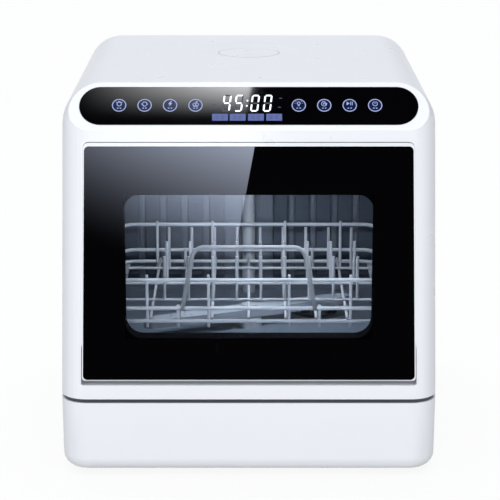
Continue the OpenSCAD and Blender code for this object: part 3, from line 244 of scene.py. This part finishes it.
GLASS = let_light_through(make("glass_black", IOR=GLASS_IOR, **CLEAR))
PANE = let_light_through(make("glass_clear", IOR=1.2, **CLEAR))
MASK = make("mask_black", (0.0015, 0.0015, 0.002), 0.6, vary=0.3, tone=20, bump=0,
            Specular_IOR_Level=0.0)
SPACER = make("spacer_black", (0.006, 0.006, 0.007), 0.9, vary=0.2, bump=0.1,
              Specular_IOR_Level=0.0)
LINER = make("liner_slate", (0.12, 0.14, 0.175), 0.45, vary=0.06, grain=800, bump=0.1)
WIRE = make("rack_coating", (0.38, 0.40, 0.43), 0.33, vary=0.05, tone=40, grain=1300, bump=0.06,
            Coat_Weight=0.4, Coat_Roughness=0.15)
# A darker copy of the rack coating, for the tines, floor wires and handle arch
WIRE_DARKER = make("rack_coating_darker", (0.24, 0.25, 0.275), 0.4, vary=0.08, tone=40, grain=1300,
                 bump=0.06, Coat_Weight=0.3, Coat_Roughness=0.2)

FINISH = {"housing_white": WHITE, "panel_white": SERVICE, "seam_black": SEAM,
          "foot_rubber": RUBBER, "seal_grey": SEAL, "screw_steel": STEEL, "pin_steel": PIN,
          "bush_plastic": BUSH, "panel_lens": LENS, "touch_print": PRINT,
          "display_dark": DISPLAY, "board_green": BOARD, "spring_metal": SPRING,
          "inner_dark": INNER_DARK, "switch_red": SWITCH, "tub_slate": TUB,
          "inner_grey": INNER, "filter_steel": FILTER_STEEL, "arm_plastic": ARM,
          "pump_dark": PUMP, "heater_steel": HEATER, "tank_clear": TANK,
          "float_orange": FLOAT, "glass_black": GLASS, "glass_clear": PANE,
          "mask_black": MASK, "spacer_black": SPACER, "liner_slate": LINER,
          "rack_coating": WIRE}

# ---- Door window: real glass within it, black gloss round it, painted shade on the frame behind ----

SPACER_WALL = 0.002
# Painted shade: matt black on the door frame's white round the window
PAINTED_SHADE_BLACK = (0.004, 0.004, 0.005, 1)
GLOSS_BLACK = (0.0012, 0.0012, 0.0016, 1)
GLOSS_ROUGH = 0.01


def within(tree, center, half):
    """1 inside an upright block round a center, 0 outside it, in X and Z."""
    place = tree.nodes.new("ShaderNodeSeparateXYZ")
    link(tree, tree.nodes.new("ShaderNodeTexCoord").outputs["Object"], place.inputs["Vector"])
    across = math_node(tree, "COMPARE", place.outputs["X"], center.x, half.x)
    upward = math_node(tree, "COMPARE", place.outputs["Z"], center.z, half.z)
    return math_node(tree, "MULTIPLY", across, upward)


def change_within(material, center, half, outside=None, inside=None):
    """Another shader inside or outside an upright block, such as a window."""
    tree = material.node_tree
    socket, surface = surface_of(tree)
    link(tree, mix_shaders(tree, within(tree, center, half),
                           outside(tree) if outside else surface,
                           inside(tree) if inside else surface), socket)
    return material


def painted_shade_black(tree):
    shader = tree.nodes.new("ShaderNodeBsdfDiffuse")
    shader.inputs["Color"].default_value = PAINTED_SHADE_BLACK
    return shader.outputs["BSDF"]


def black_gloss(tree):
    shader = tree.nodes.new("ShaderNodeBsdfPrincipled")
    shader.inputs["Base Color"].default_value = GLOSS_BLACK
    shader.inputs["Roughness"].default_value = GLOSS_ROUGH
    shader.inputs["IOR"].default_value = GLASS_IOR
    return shader.outputs["BSDF"]


def spacer_block(name, wall):
    """Center and half size of the spacer's outline in a node's frame, less a wall."""
    low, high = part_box("window_spacer")
    half = (high - low) / 2 - Vector((wall, 0, wall))
    return nodes[name].matrix_world.inverted() @ ((low + high) / 2), half


# Within the spacer's outline the door frame's white is painted matt black, as painted shade on
# the window hole's white edges
DOOR_WHITE_SHADED = change_within(make("housing_white_door_painted_shade", **HOUSING), *spacer_block("door_frame", 0),
                           inside=painted_shade_black)
change_within(GLASS, *spacer_block("door_glass", SPACER_WALL), outside=black_gloss)

# ---- Finish of each node ----

MERGE = 0.00001
CREASE = math.radians(24)
SPECIAL = {"rack_tines": WIRE_DARKER, "rack_floor_wires": WIRE_DARKER, "door_frame": DOOR_WHITE_SHADED}


def smooth_to_creases(piece):
    """Smooth shading that stops at edges sharper than CREASE."""
    piece.modifiers.new("join", "WELD").merge_threshold = MERGE
    split = piece.modifiers.new("crease", "EDGE_SPLIT")
    split.split_angle = CREASE
    split.use_edge_sharp = False
    piece.modifiers.new("normals", "WEIGHTED_NORMAL")


slots = {part["node"]: part["material_slot"] for part in frame["record"]["subparts"]}
for name, piece in nodes.items():
    piece.data.materials.clear()
    piece.data.materials.append(SPECIAL.get(name, FINISH[slots[name]]))
    smooth_to_creases(piece)

# ---- New pieces ----


def new_piece(name, points, faces, material):
    mesh = bpy.data.meshes.new(name)
    mesh.from_pydata(points, [], faces)
    mesh.materials.append(material)
    piece = bpy.data.objects.new(name, mesh)
    scene.collection.objects.link(piece)
    return piece


def riding(name, points, faces, material, body, slot):
    """A visible piece of the object that moves with one of its bodies."""
    piece = new_piece(name, points, faces, material)
    piece.data.validate()
    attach(piece, body)
    return piece


def staged(name, points, faces, material):
    """A piece of the studio, not of the object."""
    piece = new_piece(name, points, faces, material)
    return piece


# ---- Control panel prints, outlines in millimetres on the lens's sloping face ----

TILT = math.radians(39)
ACROSS = Vector((1, 0, 0))
UP_SLOPE = Vector((0, math.sin(TILT), math.cos(TILT)))
OUT = Vector((0, -math.cos(TILT), math.sin(TILT)))
LENS_HALF = 1.25
lens_low, lens_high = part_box("control_lens")
LENS_FACE = (lens_low + lens_high) / 2 + OUT * LENS_HALF * MM


def circle_point(x, y, r, angle):
    return x + r * math.cos(angle), y + r * math.sin(angle)


def disc(x, y, r, steps):
    return [circle_point(x, y, r, 2 * math.pi * i / steps) for i in range(steps)]


def arc(x, y, r0, r1, start, end, steps=16):
    angles = [math.radians(start + (end - start) * i / steps) for i in range(steps + 1)]
    return ([circle_point(x, y, r1, a) for a in angles]
            + [circle_point(x, y, r0, a) for a in reversed(angles)])


def ring(x, y, r0, r1):
    return [arc(x, y, r0, r1, 0, 180), arc(x, y, r0, r1, 180, 360)]


def block(x, y, w, h, turn=0.0):
    c, s = math.cos(math.radians(turn)), math.sin(math.radians(turn))
    return [(x + a * c - b * s, y + a * s + b * c)
            for a, b in ((-w / 2, -h / 2), (w / 2, -h / 2), (w / 2, h / 2), (-w / 2, h / 2))]


def moved(shape, x, y):
    return [(a + x, b + y) for a, b in shape]


def prints(name, shapes, material, slot, lift, thick):
    """Thin prints that stand a little way out from the lens."""
    points, faces = [], []
    for shape in shapes:
        first, count = len(points), len(shape)
        for height in (lift, lift + thick):
            points += [LENS_FACE + ACROSS * a * MM + UP_SLOPE * b * MM + OUT * height * MM
                       for a, b in shape]
        faces.append(list(range(first + count, first + 2 * count)))
        faces.append(list(range(first + count - 1, first - 1, -1)))
        for i in range(count):
            a, b = first + i, first + (i + 1) % count
            faces.append([a, b, b + count, a + count])
    riding(name, points, faces, material, "cabinet", slot)


# Four keys on each side, at the touch rings' places
KEY_PITCH = 27.4
KEY_DROP = 0.5
KEY_MARGIN = 1.1
ring_low, ring_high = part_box("touch_rings")
RING_MID = (ring_low.x + ring_high.x) / 2 / MM
RING_REACH = (ring_high.x - ring_low.x) / 2 / MM
RING_R = (ring_high.z - ring_low.z) / math.cos(TILT) / 2 / MM
KEYS_X = [RING_MID - RING_REACH + RING_R + i * KEY_PITCH for i in range(4)]
KEYS_X += [2 * RING_MID - x for x in reversed(KEYS_X)]
KEYS_Y = ((ring_low.z + ring_high.z) / 2 - (lens_low.z + lens_high.z) / 2) / math.cos(TILT) / MM
KEYS_Y -= KEY_DROP

# One plain sign for each key, from the left
SIGNS = (
    ring(0, 1.0, 1.9, 2.8) + [
        block(0, 4.2, 2.6, 0.7), block(-2.9, 3.1, 1.4, 0.7, 40), block(2.9, 3.1, 1.4, 0.7, -40)],
    [arc(0, 1.0, 2.1, 3.0, 20, 140), arc(0, 1.0, 2.1, 3.0, 200, 320),
     [(1.2, 1.5), (4.0, 1.5), (2.6, -0.3)], [(-1.2, 0.5), (-4.0, 0.5), (-2.6, 2.3)]],
    [[(0.6, 4.6), (-2.2, 0.7), (-0.3, 0.7), (-1.2, -2.2), (2.3, 2.0), (0.4, 2.0), (2.0, 4.6)]],
    ring(-1.2, 0.4, 1.3, 2.0) + ring(1.5, 0.4, 1.3, 2.0) + [
        [(-0.2, 2.4), (0.3, 4.2), (2.6, 4.4), (1.4, 2.6)], block(0, -1.9, 5.4, 0.6)],
    ring(0, 2.0, 1.2, 2.0) + [block(0, -0.9, 1.7, 1.3)] + [
        block(*circle_point(0, 2.0, 4.0, math.radians(turn)), 1.2, 0.5, turn)
        for turn in (0, 180, 40, 140)],
    [arc(0, 1.4, 2.4, 3.2, 60, 380, 26), arc(0.7, 1.2, 0.9, 1.8, -60, 220, 20),
     disc(0.7, 1.2, 0.5, 12)],
    [[(-3.2, 4.0), (-3.2, -0.6), (0.0, 1.7)], block(1.2, 1.7, 0.8, 4.4),
     block(2.9, 1.7, 0.8, 4.4)],
    [arc(0, 1.4, 2.2, 3.0, 120, 420, 24), block(0, 2.7, 0.8, 3.2)],
)
SIGN_FOOT = [block(-1.5, -4.0, 1.7, 1.1), block(1.5, -4.0, 1.7, 1.1)]

prints("key_grounds", [disc(x, KEYS_Y, RING_R - KEY_MARGIN, 48) for x in KEYS_X],
       KEY_DARK, "panel_lens", lift=0.005, thick=0.03)
prints("key_icons", [moved(shape, x, KEYS_Y) for x, sign in zip(KEYS_X, SIGNS)
                     for shape in sign + SIGN_FOOT],
       PRINT, "touch_print", lift=0.05, thick=0.05)

# Seven-segment digits: top, upper left, upper right, middle, lower left, lower right, bottom
SEGMENTS = {"4": "0111010", "5": "1101011", "0": "1110111"}
DIGIT_W, DIGIT_H, STROKE, SLANT = 8.6, 20.6, 1.75, 0.115
DIGITS_X, DIGITS_Y = (-23.7, -10.7, 6.7, 20.3), 3.0
MIDDLE_SHARE = 0.9
END_GAP = 2.6
COLON_X, COLON_RISE, COLON_R = -1.8, 3.2, 1.0


def segment(x, y, w, h):
    """Bar with rounded ends, leaning with the digits."""
    r = min(w, h) / 2
    outline = []
    for cx, cy, start in ((w / 2 - r, h / 2 - r, 0), (r - w / 2, h / 2 - r, 90),
                          (r - w / 2, r - h / 2, 180), (w / 2 - r, r - h / 2, 270)):
        outline += [circle_point(x + cx, y + cy, r, math.radians(start + turn))
                    for turn in (0, 30, 60, 90)]
    return [(a + SLANT * b, b + DIGITS_Y) for a, b in outline]


lit, unlit = [], []
half = DIGIT_H / 2
for x, value in zip(DIGITS_X, "4500"):
    left, right = x - DIGIT_W / 2 + STROKE / 2, x + DIGIT_W / 2 - STROKE / 2
    bars = (segment(x, half - STROKE / 2, DIGIT_W - END_GAP, STROKE),
            segment(left, half / 2, STROKE, half - END_GAP),
            segment(right, half / 2, STROKE, half - END_GAP),
            segment(x, 0, DIGIT_W - END_GAP, STROKE * MIDDLE_SHARE),
            segment(left, -half / 2, STROKE, half - END_GAP),
            segment(right, -half / 2, STROKE, half - END_GAP),
            segment(x, STROKE / 2 - half, DIGIT_W - END_GAP, STROKE))
    for bar, on in zip(bars, SEGMENTS[value]):
        (lit if on == "1" else unlit).append(bar)
for y in (-COLON_RISE, COLON_RISE):
    lit.append(disc(COLON_X + SLANT * y, y + DIGITS_Y, COLON_R, 16))
# Small unlit marks beside the digits
unlit += [segment(-37.5, y, 3.4, 0.8) for y in (-1.5, -3.8, -6.1)]
unlit += [segment(33.5, y, 3.0, 0.9) for y in (6, -5)]

# Lit bars below the digits, each with four dark marks
BARS_X, BARS_Y = (-30.9, -11.9, 7.7, 27.2), -14.1
marks = [block(x + dx, BARS_Y + dy, 3.2, 0.8)
         for x in BARS_X for dx in (-3, 2.5) for dy in (-1.2, 1.2)]
prints("display_ground", [segment(-1.8, -3.9, 80, 30)],
       DISPLAY, "display_dark", lift=0.002, thick=0.01)
prints("display_digits", lit, DIGIT, "touch_print", lift=0.03, thick=0.05)
prints("display_unlit", unlit, DIM, "display_dark", lift=0.03, thick=0.03)
prints("display_bars", [block(x, BARS_Y, 17.0, 8.4) for x in BARS_X],
       BAR, "touch_print", lift=0.03, thick=0.04)
prints("display_marks", marks, DIM, "display_dark", lift=0.08, thick=0.02)

# ---- Rack handle: an arch with legs that lean inwards towards its top ----

WIRE_SIDES = 14
BEND_X, BEND, BEND_STEPS = 0.050, 0.014, 12
LEAN = math.radians(10.4)
FOOT_RISE = 0.001


def tube(path, radius):
    """Points and faces of a round wire along a path that stays in one upright plane across X."""
    points, faces = [], []
    for i, at in enumerate(path):
        before, after = path[max(0, i - 1)], path[min(len(path) - 1, i + 1)]
        along = (after - before).normalized()
        side = Vector((0, -1, 0))
        over = along.cross(side)
        points += [at + (side * math.cos(a) + over * math.sin(a)) * radius
                   for a in (2 * math.pi * k / WIRE_SIDES for k in range(WIRE_SIDES))]
    for i in range(len(path) - 1):
        for k in range(WIRE_SIDES):
            a, b = i * WIRE_SIDES + k, i * WIRE_SIDES + (k + 1) % WIRE_SIDES
            faces.append((a, b, b + WIRE_SIDES, a + WIRE_SIDES))
    faces.append(tuple(range(WIRE_SIDES - 1, -1, -1)))
    faces.append(tuple(range(len(points) - WIRE_SIDES, len(points))))
    return points, faces


handle_low, handle_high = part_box("rack_handle")
WIRE_R = (handle_high.y - handle_low.y) / 2
ARCH_Y = (handle_low.y + handle_high.y) / 2
BEND_Z = handle_high.z - WIRE_R - BEND
half_arch = [Vector((handle_high.x - WIRE_R, ARCH_Y, handle_low.z + FOOT_RISE))]
half_arch += [Vector((BEND_X + BEND * math.cos(a), ARCH_Y, BEND_Z + BEND * math.sin(a)))
              for a in (LEAN + (math.pi / 2 - LEAN) * i / BEND_STEPS
                        for i in range(BEND_STEPS + 1))]
arch = half_arch + [Vector((-at.x, at.y, at.z)) for at in reversed(half_arch)]
handle = riding("handle_arch", *tube(arch, WIRE_R), WIRE_DARKER, "rack", "rack_coating")
handle.data.shade_smooth()
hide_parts("rack_handle")

# ---- Broad shallow ribs on the rear wall of the tub, on both sides of the feed pipe ----

RIB_PITCH, RIBS_A_SIDE, PIPE_HALF = 0.027, 6, 0.02
RIB_FOOT, RIB_TOP, RIB_DEEP, RIB_HALF, RIB_SOFT = 0.136, 0.352, 0.0052, 0.0098, 0.0016
RIB_END, RIB_END_SHARE = 0.006, 0.15
RIB_BEHIND = 0.0027  # the tub's wall and a hair's breadth

rib_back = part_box("tub")[1].y - RIB_BEHIND
section = [(-RIB_HALF, 0), (-RIB_HALF, RIB_DEEP - RIB_SOFT), (RIB_SOFT - RIB_HALF, RIB_DEEP),
           (RIB_HALF - RIB_SOFT, RIB_DEEP), (RIB_HALF, RIB_DEEP - RIB_SOFT), (RIB_HALF, 0)]
levels = ((RIB_FOOT, RIB_END_SHARE), (RIB_FOOT + RIB_END, 1), (RIB_TOP - RIB_END, 1),
          (RIB_TOP, RIB_END_SHARE))
rib_points, rib_faces = [], []
for index in range(-RIBS_A_SIDE, RIBS_A_SIDE):
    x = (index + 0.5) * RIB_PITCH
    if abs(x) < PIPE_HALF:
        continue
    first, count = len(rib_points), len(section)
    for z, share in levels:
        rib_points += [(x + a, rib_back - b * share, z) for a, b in section]
    for j in range(len(levels) - 1):
        for k in range(count - 1):
            a = first + j * count + k
            rib_faces.append((a, a + 1, a + count + 1, a + count))
# The ribs get the darker slate, painted shade on the rear wall
riding("tub_ribs", rib_points, rib_faces, SHADED_RIBS, "cabinet", "tub_slate")

# ---- Lip of the housing that narrows the gap round the door to a fine line ----

GAP, HOLE_ROUND, DOOR_ROUND = 0.00205, 0.004, 0.006
LEAN_IN = 0.00694  # how far each side of the door leans in over its height
SIDE_LEFT, TOP_LEFT, LOW_LEFT = 0.0002, 0.0008, 0.0010  # what the lip leaves open
LOW_START, LOW_REACH, LOW_STEP = -0.001, 0.046, 0.006  # heights over the door's foot
LIP_DEEP, LIP_SUNK, LIP_BEHIND = 0.005, 0.0002, 0.0003
CORNER_STEPS = 8

shell_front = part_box("outer_shell")[0].y
door_low, door_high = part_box("door_frame")
edge_top = door_high.x - LEAN_IN
outer, inner = [], []
for height, left in ((LOW_START, LOW_LEFT), (LOW_REACH - LOW_STEP, LOW_LEFT),
                     (LOW_REACH, SIDE_LEFT)):
    edge = door_high.x - LEAN_IN * max(0, height) / (door_high.z - door_low.z)
    outer.append((edge + GAP + LIP_SUNK, door_low.z + height))
    inner.append((edge + left, door_low.z + height))
for step in range(CORNER_STEPS + 1):
    turn = math.radians(step * 90 / CORNER_STEPS)
    c, s = math.cos(turn), math.sin(turn)
    outer.append((edge_top + GAP - HOLE_ROUND * (1 - c) + LIP_SUNK * c,
                  door_high.z + GAP - HOLE_ROUND * (1 - s) + LIP_SUNK * s))
    inner.append((edge_top - DOOR_ROUND * (1 - c) + SIDE_LEFT * c,
                  door_high.z - DOOR_ROUND * (1 - s) + TOP_LEFT * s))
outer += [(-x, z) for x, z in reversed(outer)]
inner += [(-x, z) for x, z in reversed(inner)]
count = len(outer)
lip_points = [(x, shell_front + LIP_BEHIND + depth, z)
              for depth in (0, LIP_DEEP) for x, z in outer + inner]
lip_faces = []
for a in range(count - 1):
    b, back = a + count, 2 * count
    lip_faces += [(a, a + 1, b + 1, b), (a + back, b + back, b + back + 1, a + back + 1),
                  (b, b + 1, b + back + 1, b + back)]
riding("door_lip", lip_points, lip_faces, WHITE, "cabinet", "housing_white")

# ---- Sill below the door's turning bottom edge ----

SILL_SHORT, SILL_BELOW, SILL_BEHIND, SILL_DEEP, SILL_THICK = 0.010, 0.0044, 0.0028, 0.009, 0.0004

sill_x = door_high.x - SILL_SHORT
sill_y = shell_front + SILL_BEHIND
sill_z = door_low.z - SILL_BELOW
sill = [(x, sill_y + depth, sill_z + rise) for rise in (0, SILL_THICK) for x, depth in
        ((-sill_x, 0), (sill_x, 0), (sill_x, SILL_DEEP), (-sill_x, SILL_DEEP))]
BLOCK_FACES = [(3, 2, 1, 0), (4, 5, 6, 7), (0, 1, 5, 4), (1, 2, 6, 5), (2, 3, 7, 6), (3, 0, 4, 7)]
riding("door_sill", sill, BLOCK_FACES, WHITE, "cabinet", "housing_white")

# ---- Floor: glows white where it is seen, and gives little light to the underside ----

FLOOR_HALF = 20
FLOOR_ROUGH = 0.7
FLOOR_WHITE, FLOOR_BOUNCE = (0.88, 0.88, 0.89), (0.12, 0.125, 0.135)
FLOOR_GLOW = 0.90


def seen_rays(tree):
    """1 for camera, glossy and transmission rays, 0 for the rest."""
    path = tree.nodes.new("ShaderNodeLightPath")
    total = path.outputs["Is Camera Ray"]
    for name in ("Is Glossy Ray", "Is Transmission Ray"):
        total = math_node(tree, "MAXIMUM", total, path.outputs[name])
    return total


floor_paint = bpy.data.materials.new("floor_paint")
floor_paint.use_nodes = True
floor_paint.cycles.emission_sampling = "NONE"
tree = floor_paint.node_tree
shader = tree.nodes["Principled BSDF"]
shader.inputs["Roughness"].default_value = FLOOR_ROUGH
path = tree.nodes.new("ShaderNodeLightPath")
link(tree, mix_colors(tree, path.outputs["Is Diffuse Ray"], FLOOR_WHITE, FLOOR_BOUNCE),
     shader.inputs["Base Color"])
glow = tree.nodes.new("ShaderNodeEmission")
share = math_node(tree, "MULTIPLY", seen_rays(tree), FLOOR_GLOW)
link(tree, mix_shaders(tree, share, shader.outputs["BSDF"], glow.outputs["Emission"]),
     tree.nodes["Material Output"].inputs["Surface"])
staged("floor", [(x * FLOOR_HALF, y * FLOOR_HALF, 0) for x, y in
                 ((-1, -1), (1, -1), (1, 1), (-1, 1))], [(0, 1, 2, 3)], floor_paint)

# ---- Surroundings ----
# They light most from above, less from the sides, from the right and from ahead, and far less
# from ahead and above. What is seen is white, apart from reflections, which darken to the sides.

SKY_COLOR = (0.92, 0.95, 1.0, 1)
SKY, SKY_UP = 0.70, 1.52
LOSS_SIDE, LOSS_RIGHT, LOSS_SIDE_UP, LOSS_AHEAD, LOSS_AHEAD_UP = 0.32, 0.06, 0.85, 0.20, 1.95
LOSS_MIRRORED = 0.62

world = bpy.data.worlds.new("world")
scene.world = world
world.use_nodes = True
tree = world.node_tree
tree.nodes.clear()
way = tree.nodes.new("ShaderNodeSeparateXYZ")
link(tree, tree.nodes.new("ShaderNodeTexCoord").outputs["Generated"], way.inputs["Vector"])


def times(first, second):
    return math_node(tree, "MULTIPLY", first, second)


up = math_node(tree, "MAXIMUM", way.outputs["Z"], 0.0)
side = math_node(tree, "ABSOLUTE", way.outputs["X"])
ahead = math_node(tree, "MAXIMUM", times(way.outputs["Y"], -1.0), 0.0)
light = math_node(tree, "ADD", times(up, SKY_UP), SKY)
for loss in (times(side, LOSS_SIDE), times(way.outputs["X"], LOSS_RIGHT),
             times(times(side, up), LOSS_SIDE_UP), times(ahead, LOSS_AHEAD),
             times(times(ahead, up), LOSS_AHEAD_UP)):
    light = math_node(tree, "SUBTRACT", light, loss)
soft = tree.nodes.new("ShaderNodeBackground")
soft.inputs["Color"].default_value = SKY_COLOR
link(tree, math_node(tree, "MAXIMUM", light, 0.0), soft.inputs["Strength"])
path = tree.nodes.new("ShaderNodeLightPath")
dim = times(times(side, LOSS_MIRRORED), path.outputs["Is Glossy Ray"])
shown = tree.nodes.new("ShaderNodeBackground")
link(tree, math_node(tree, "SUBTRACT", 1.0, dim), shown.inputs["Strength"])
output = tree.nodes.new("ShaderNodeOutputWorld")
link(tree, mix_shaders(tree, seen_rays(tree), soft.outputs["Background"],
                       shown.outputs["Background"]), output.inputs["Surface"])

# ---- Lamps, which reflections don't see ----

COOL = (0.9, 0.95, 1.0)


def lamp(name, at, target, size, power, color=(1, 1, 1), spread=180):
    data = bpy.data.lights.new(name, "AREA")
    data.shape = "RECTANGLE"
    data.size, data.size_y = size
    data.energy = power
    data.spread = math.radians(spread)
    data.color = color
    piece = bpy.data.objects.new(name, data)
    piece.location = at
    piece.rotation_euler = (Vector(target) - Vector(at)).to_track_quat("-Z", "Y").to_euler()
    piece.visible_glossy = False
    scene.collection.objects.link(piece)


lamp("front_light", at=(0.0, -2.7, 0.34), target=(0, 0, 0.20), size=(1.6, 0.5), power=53.5)
lamp("left_light", at=(-2.2, -1.6, 1.1), target=(0, 0, 0.25), size=(1.2, 1.6), power=4)
lamp("tub_light", at=(0.02, -0.11, 0.366), target=(0.03, -0.07, 0.13), size=(0.20, 0.06),
     power=1.10, color=COOL, spread=128)
lamp("tub_side_light", at=(-0.10, -0.05, 0.33), target=(-0.095, 0.12, 0.23),
     size=(0.08, 0.04), power=0.15, color=COOL)

# ---- Studio cards, laid out so that a shiny face mirrors them to the camera ----

CARD_COLUMNS, CARD_ROWS = 60, 30
CARD_TINT, DOOR_TINT = (0.96, 0.98, 1.0), (1.01, 1.12, 1.41)
HIDDEN_RAYS = ("visible_camera", "visible_diffuse", "visible_shadow", "visible_volume_scatter")


def screen(name, face_place, to_screen, brightness, level=1.0, tint=CARD_TINT,
           behind_glass=False):
    """Card that only reflections see, and rays through glass too if it is behind_glass."""
    columns, rows = CARD_COLUMNS, CARD_ROWS
    places = [face_place(i / columns, j / rows)
              for j in range(rows + 1) for i in range(columns + 1)]
    line = columns + 1
    corners = [j * line + i for j in range(rows) for i in range(columns)]
    faces = [(a, a + 1, a + line + 1, a + line) for a in corners]
    paint = bpy.data.materials.new(name)
    paint.use_nodes = True
    paint.cycles.emission_sampling = "NONE"
    tree = paint.node_tree
    tree.nodes.remove(tree.nodes["Principled BSDF"])
    light = tree.nodes.new("ShaderNodeEmission")
    light.inputs["Strength"].default_value = level
    read = tree.nodes.new("ShaderNodeAttribute")
    read.attribute_name = "glow"
    link(tree, read.outputs["Color"], light.inputs["Color"])
    link(tree, light.outputs["Emission"], tree.nodes["Material Output"].inputs["Surface"])
    piece = staged(name, [to_screen(a, b) for a, b in places], faces, paint)
    glow = piece.data.attributes.new("glow", "FLOAT_COLOR", "POINT")
    for item, (a, b) in zip(glow.data, places):
        value = brightness(a, b)
        item.color = (*[value * share for share in tint], 1)
    for visible in HIDDEN_RAYS:
        setattr(piece, visible, False)
    piece.visible_transmission = behind_glass


def dark(a, b):
    return 0.0


EDGE_GAP = 0.0001


def split_card(name, edge, foot, tall, reach, to_screen, brightness, level, tint=CARD_TINT,
               behind_glass=False):
    """Glowing card up to a slanting edge on the face, and a black one beyond it."""
    def before(s, t):
        b = foot + tall * t
        return -reach + s * (reach + edge(b)), b

    def beyond(s, t):
        b = foot + tall * t
        return edge(b) + EDGE_GAP + s * reach, b

    screen(f"{name}_card", before, to_screen, brightness, level, tint, behind_glass)
    screen(f"{name}_flag", beyond, to_screen, dark, behind_glass=behind_glass)


def mirrored(point, normal, height=None, depth=None):
    """Where the camera's line of sight, mirrored at a face, meets a level or upright plane."""
    view = (point - CAMERA_AT).normalized()
    ray = view - 2 * view.dot(normal) * normal
    if height is not None:
        return point + ray * ((height - point.z) / ray.z)
    return point + ray * ((depth - point.y) / ray.y)


def ramp(value, start, length):
    return max(0.0, min(1.0, (value - start) / length))


# In the door's glass: brightest at the top beside the edge, and fading down and to the left
DOOR_CARD_Y = -0.62
DOOR_FOOT, DOOR_TALL, DOOR_REACH = 0.126, 0.274, 0.24
DOOR_EDGE_X, DOOR_EDGE_Z, DOOR_EDGE_SLOPE = 0.0056, 0.3725, 0.183
GLASS_HALF = 0.18
GLOW_FOOT, GLOW_FOOT_SLOPE, GLOW_TOP, GLOW_POWER = 0.270, 0.34, 0.376, 2.2
GLOW_LEFT, GLOW_GAIN = 0.28, 0.72
FRONT_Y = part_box("door_glass")[0].y


def door_screen(x, z):
    return mirrored(Vector((x, FRONT_Y, z)), Vector((0, -1, 0)), depth=DOOR_CARD_Y)


def door_edge(z):
    return DOOR_EDGE_X + (z - DOOR_EDGE_Z) * DOOR_EDGE_SLOPE


def door_shade(x, z):
    low = GLOW_FOOT - GLOW_FOOT_SLOPE * (x + GLASS_HALF)
    run = GLOW_LEFT + GLOW_GAIN * (x + GLASS_HALF) / GLASS_HALF
    return ramp(z, low, GLOW_TOP - low) ** GLOW_POWER * max(0.0, run)


split_card("door", door_edge, DOOR_FOOT, DOOR_TALL, DOOR_REACH, door_screen, door_shade,
           level=8.5, tint=DOOR_TINT, behind_glass=True)

# On the floor ahead of the machine, so that the door doesn't mirror the white floor
FLAG_LEFT, FLAG_WIDE, FLAG_NEAR, FLAG_DEEP, FLAG_Z = -0.32, 0.64, -0.66, 0.44, 0.001
screen("floor_flag", lambda s, t: (FLAG_LEFT + FLAG_WIDE * s, FLAG_NEAR + FLAG_DEEP * t),
       lambda x, y: Vector((x, y, FLAG_Z)), dark)

# In the control panel: fading down and to the left of the edge
PANEL_CARD_Z = 1.3
PANEL_FOOT, PANEL_TALL, PANEL_REACH = -0.045, 0.09, 0.22
PANEL_EDGE_U, PANEL_EDGE_SLOPE = -0.0008, 0.16
RISE_START, RISE, RISE_POWER = -0.014, 0.040, 1.4
RUN_START, RUN, RUN_POWER = -0.19, 0.19, 1.33


def panel_screen(u, v):
    return mirrored(LENS_FACE + ACROSS * u + UP_SLOPE * v, OUT, height=PANEL_CARD_Z)


def panel_edge(v):
    return PANEL_EDGE_U + v * PANEL_EDGE_SLOPE


def panel_shade(u, v):
    return ramp(v, RISE_START, RISE) ** RISE_POWER * ramp(u, RUN_START, RUN) ** RUN_POWER


split_card("panel", panel_edge, PANEL_FOOT, PANEL_TALL, PANEL_REACH, panel_screen,
           panel_shade, level=17.5)
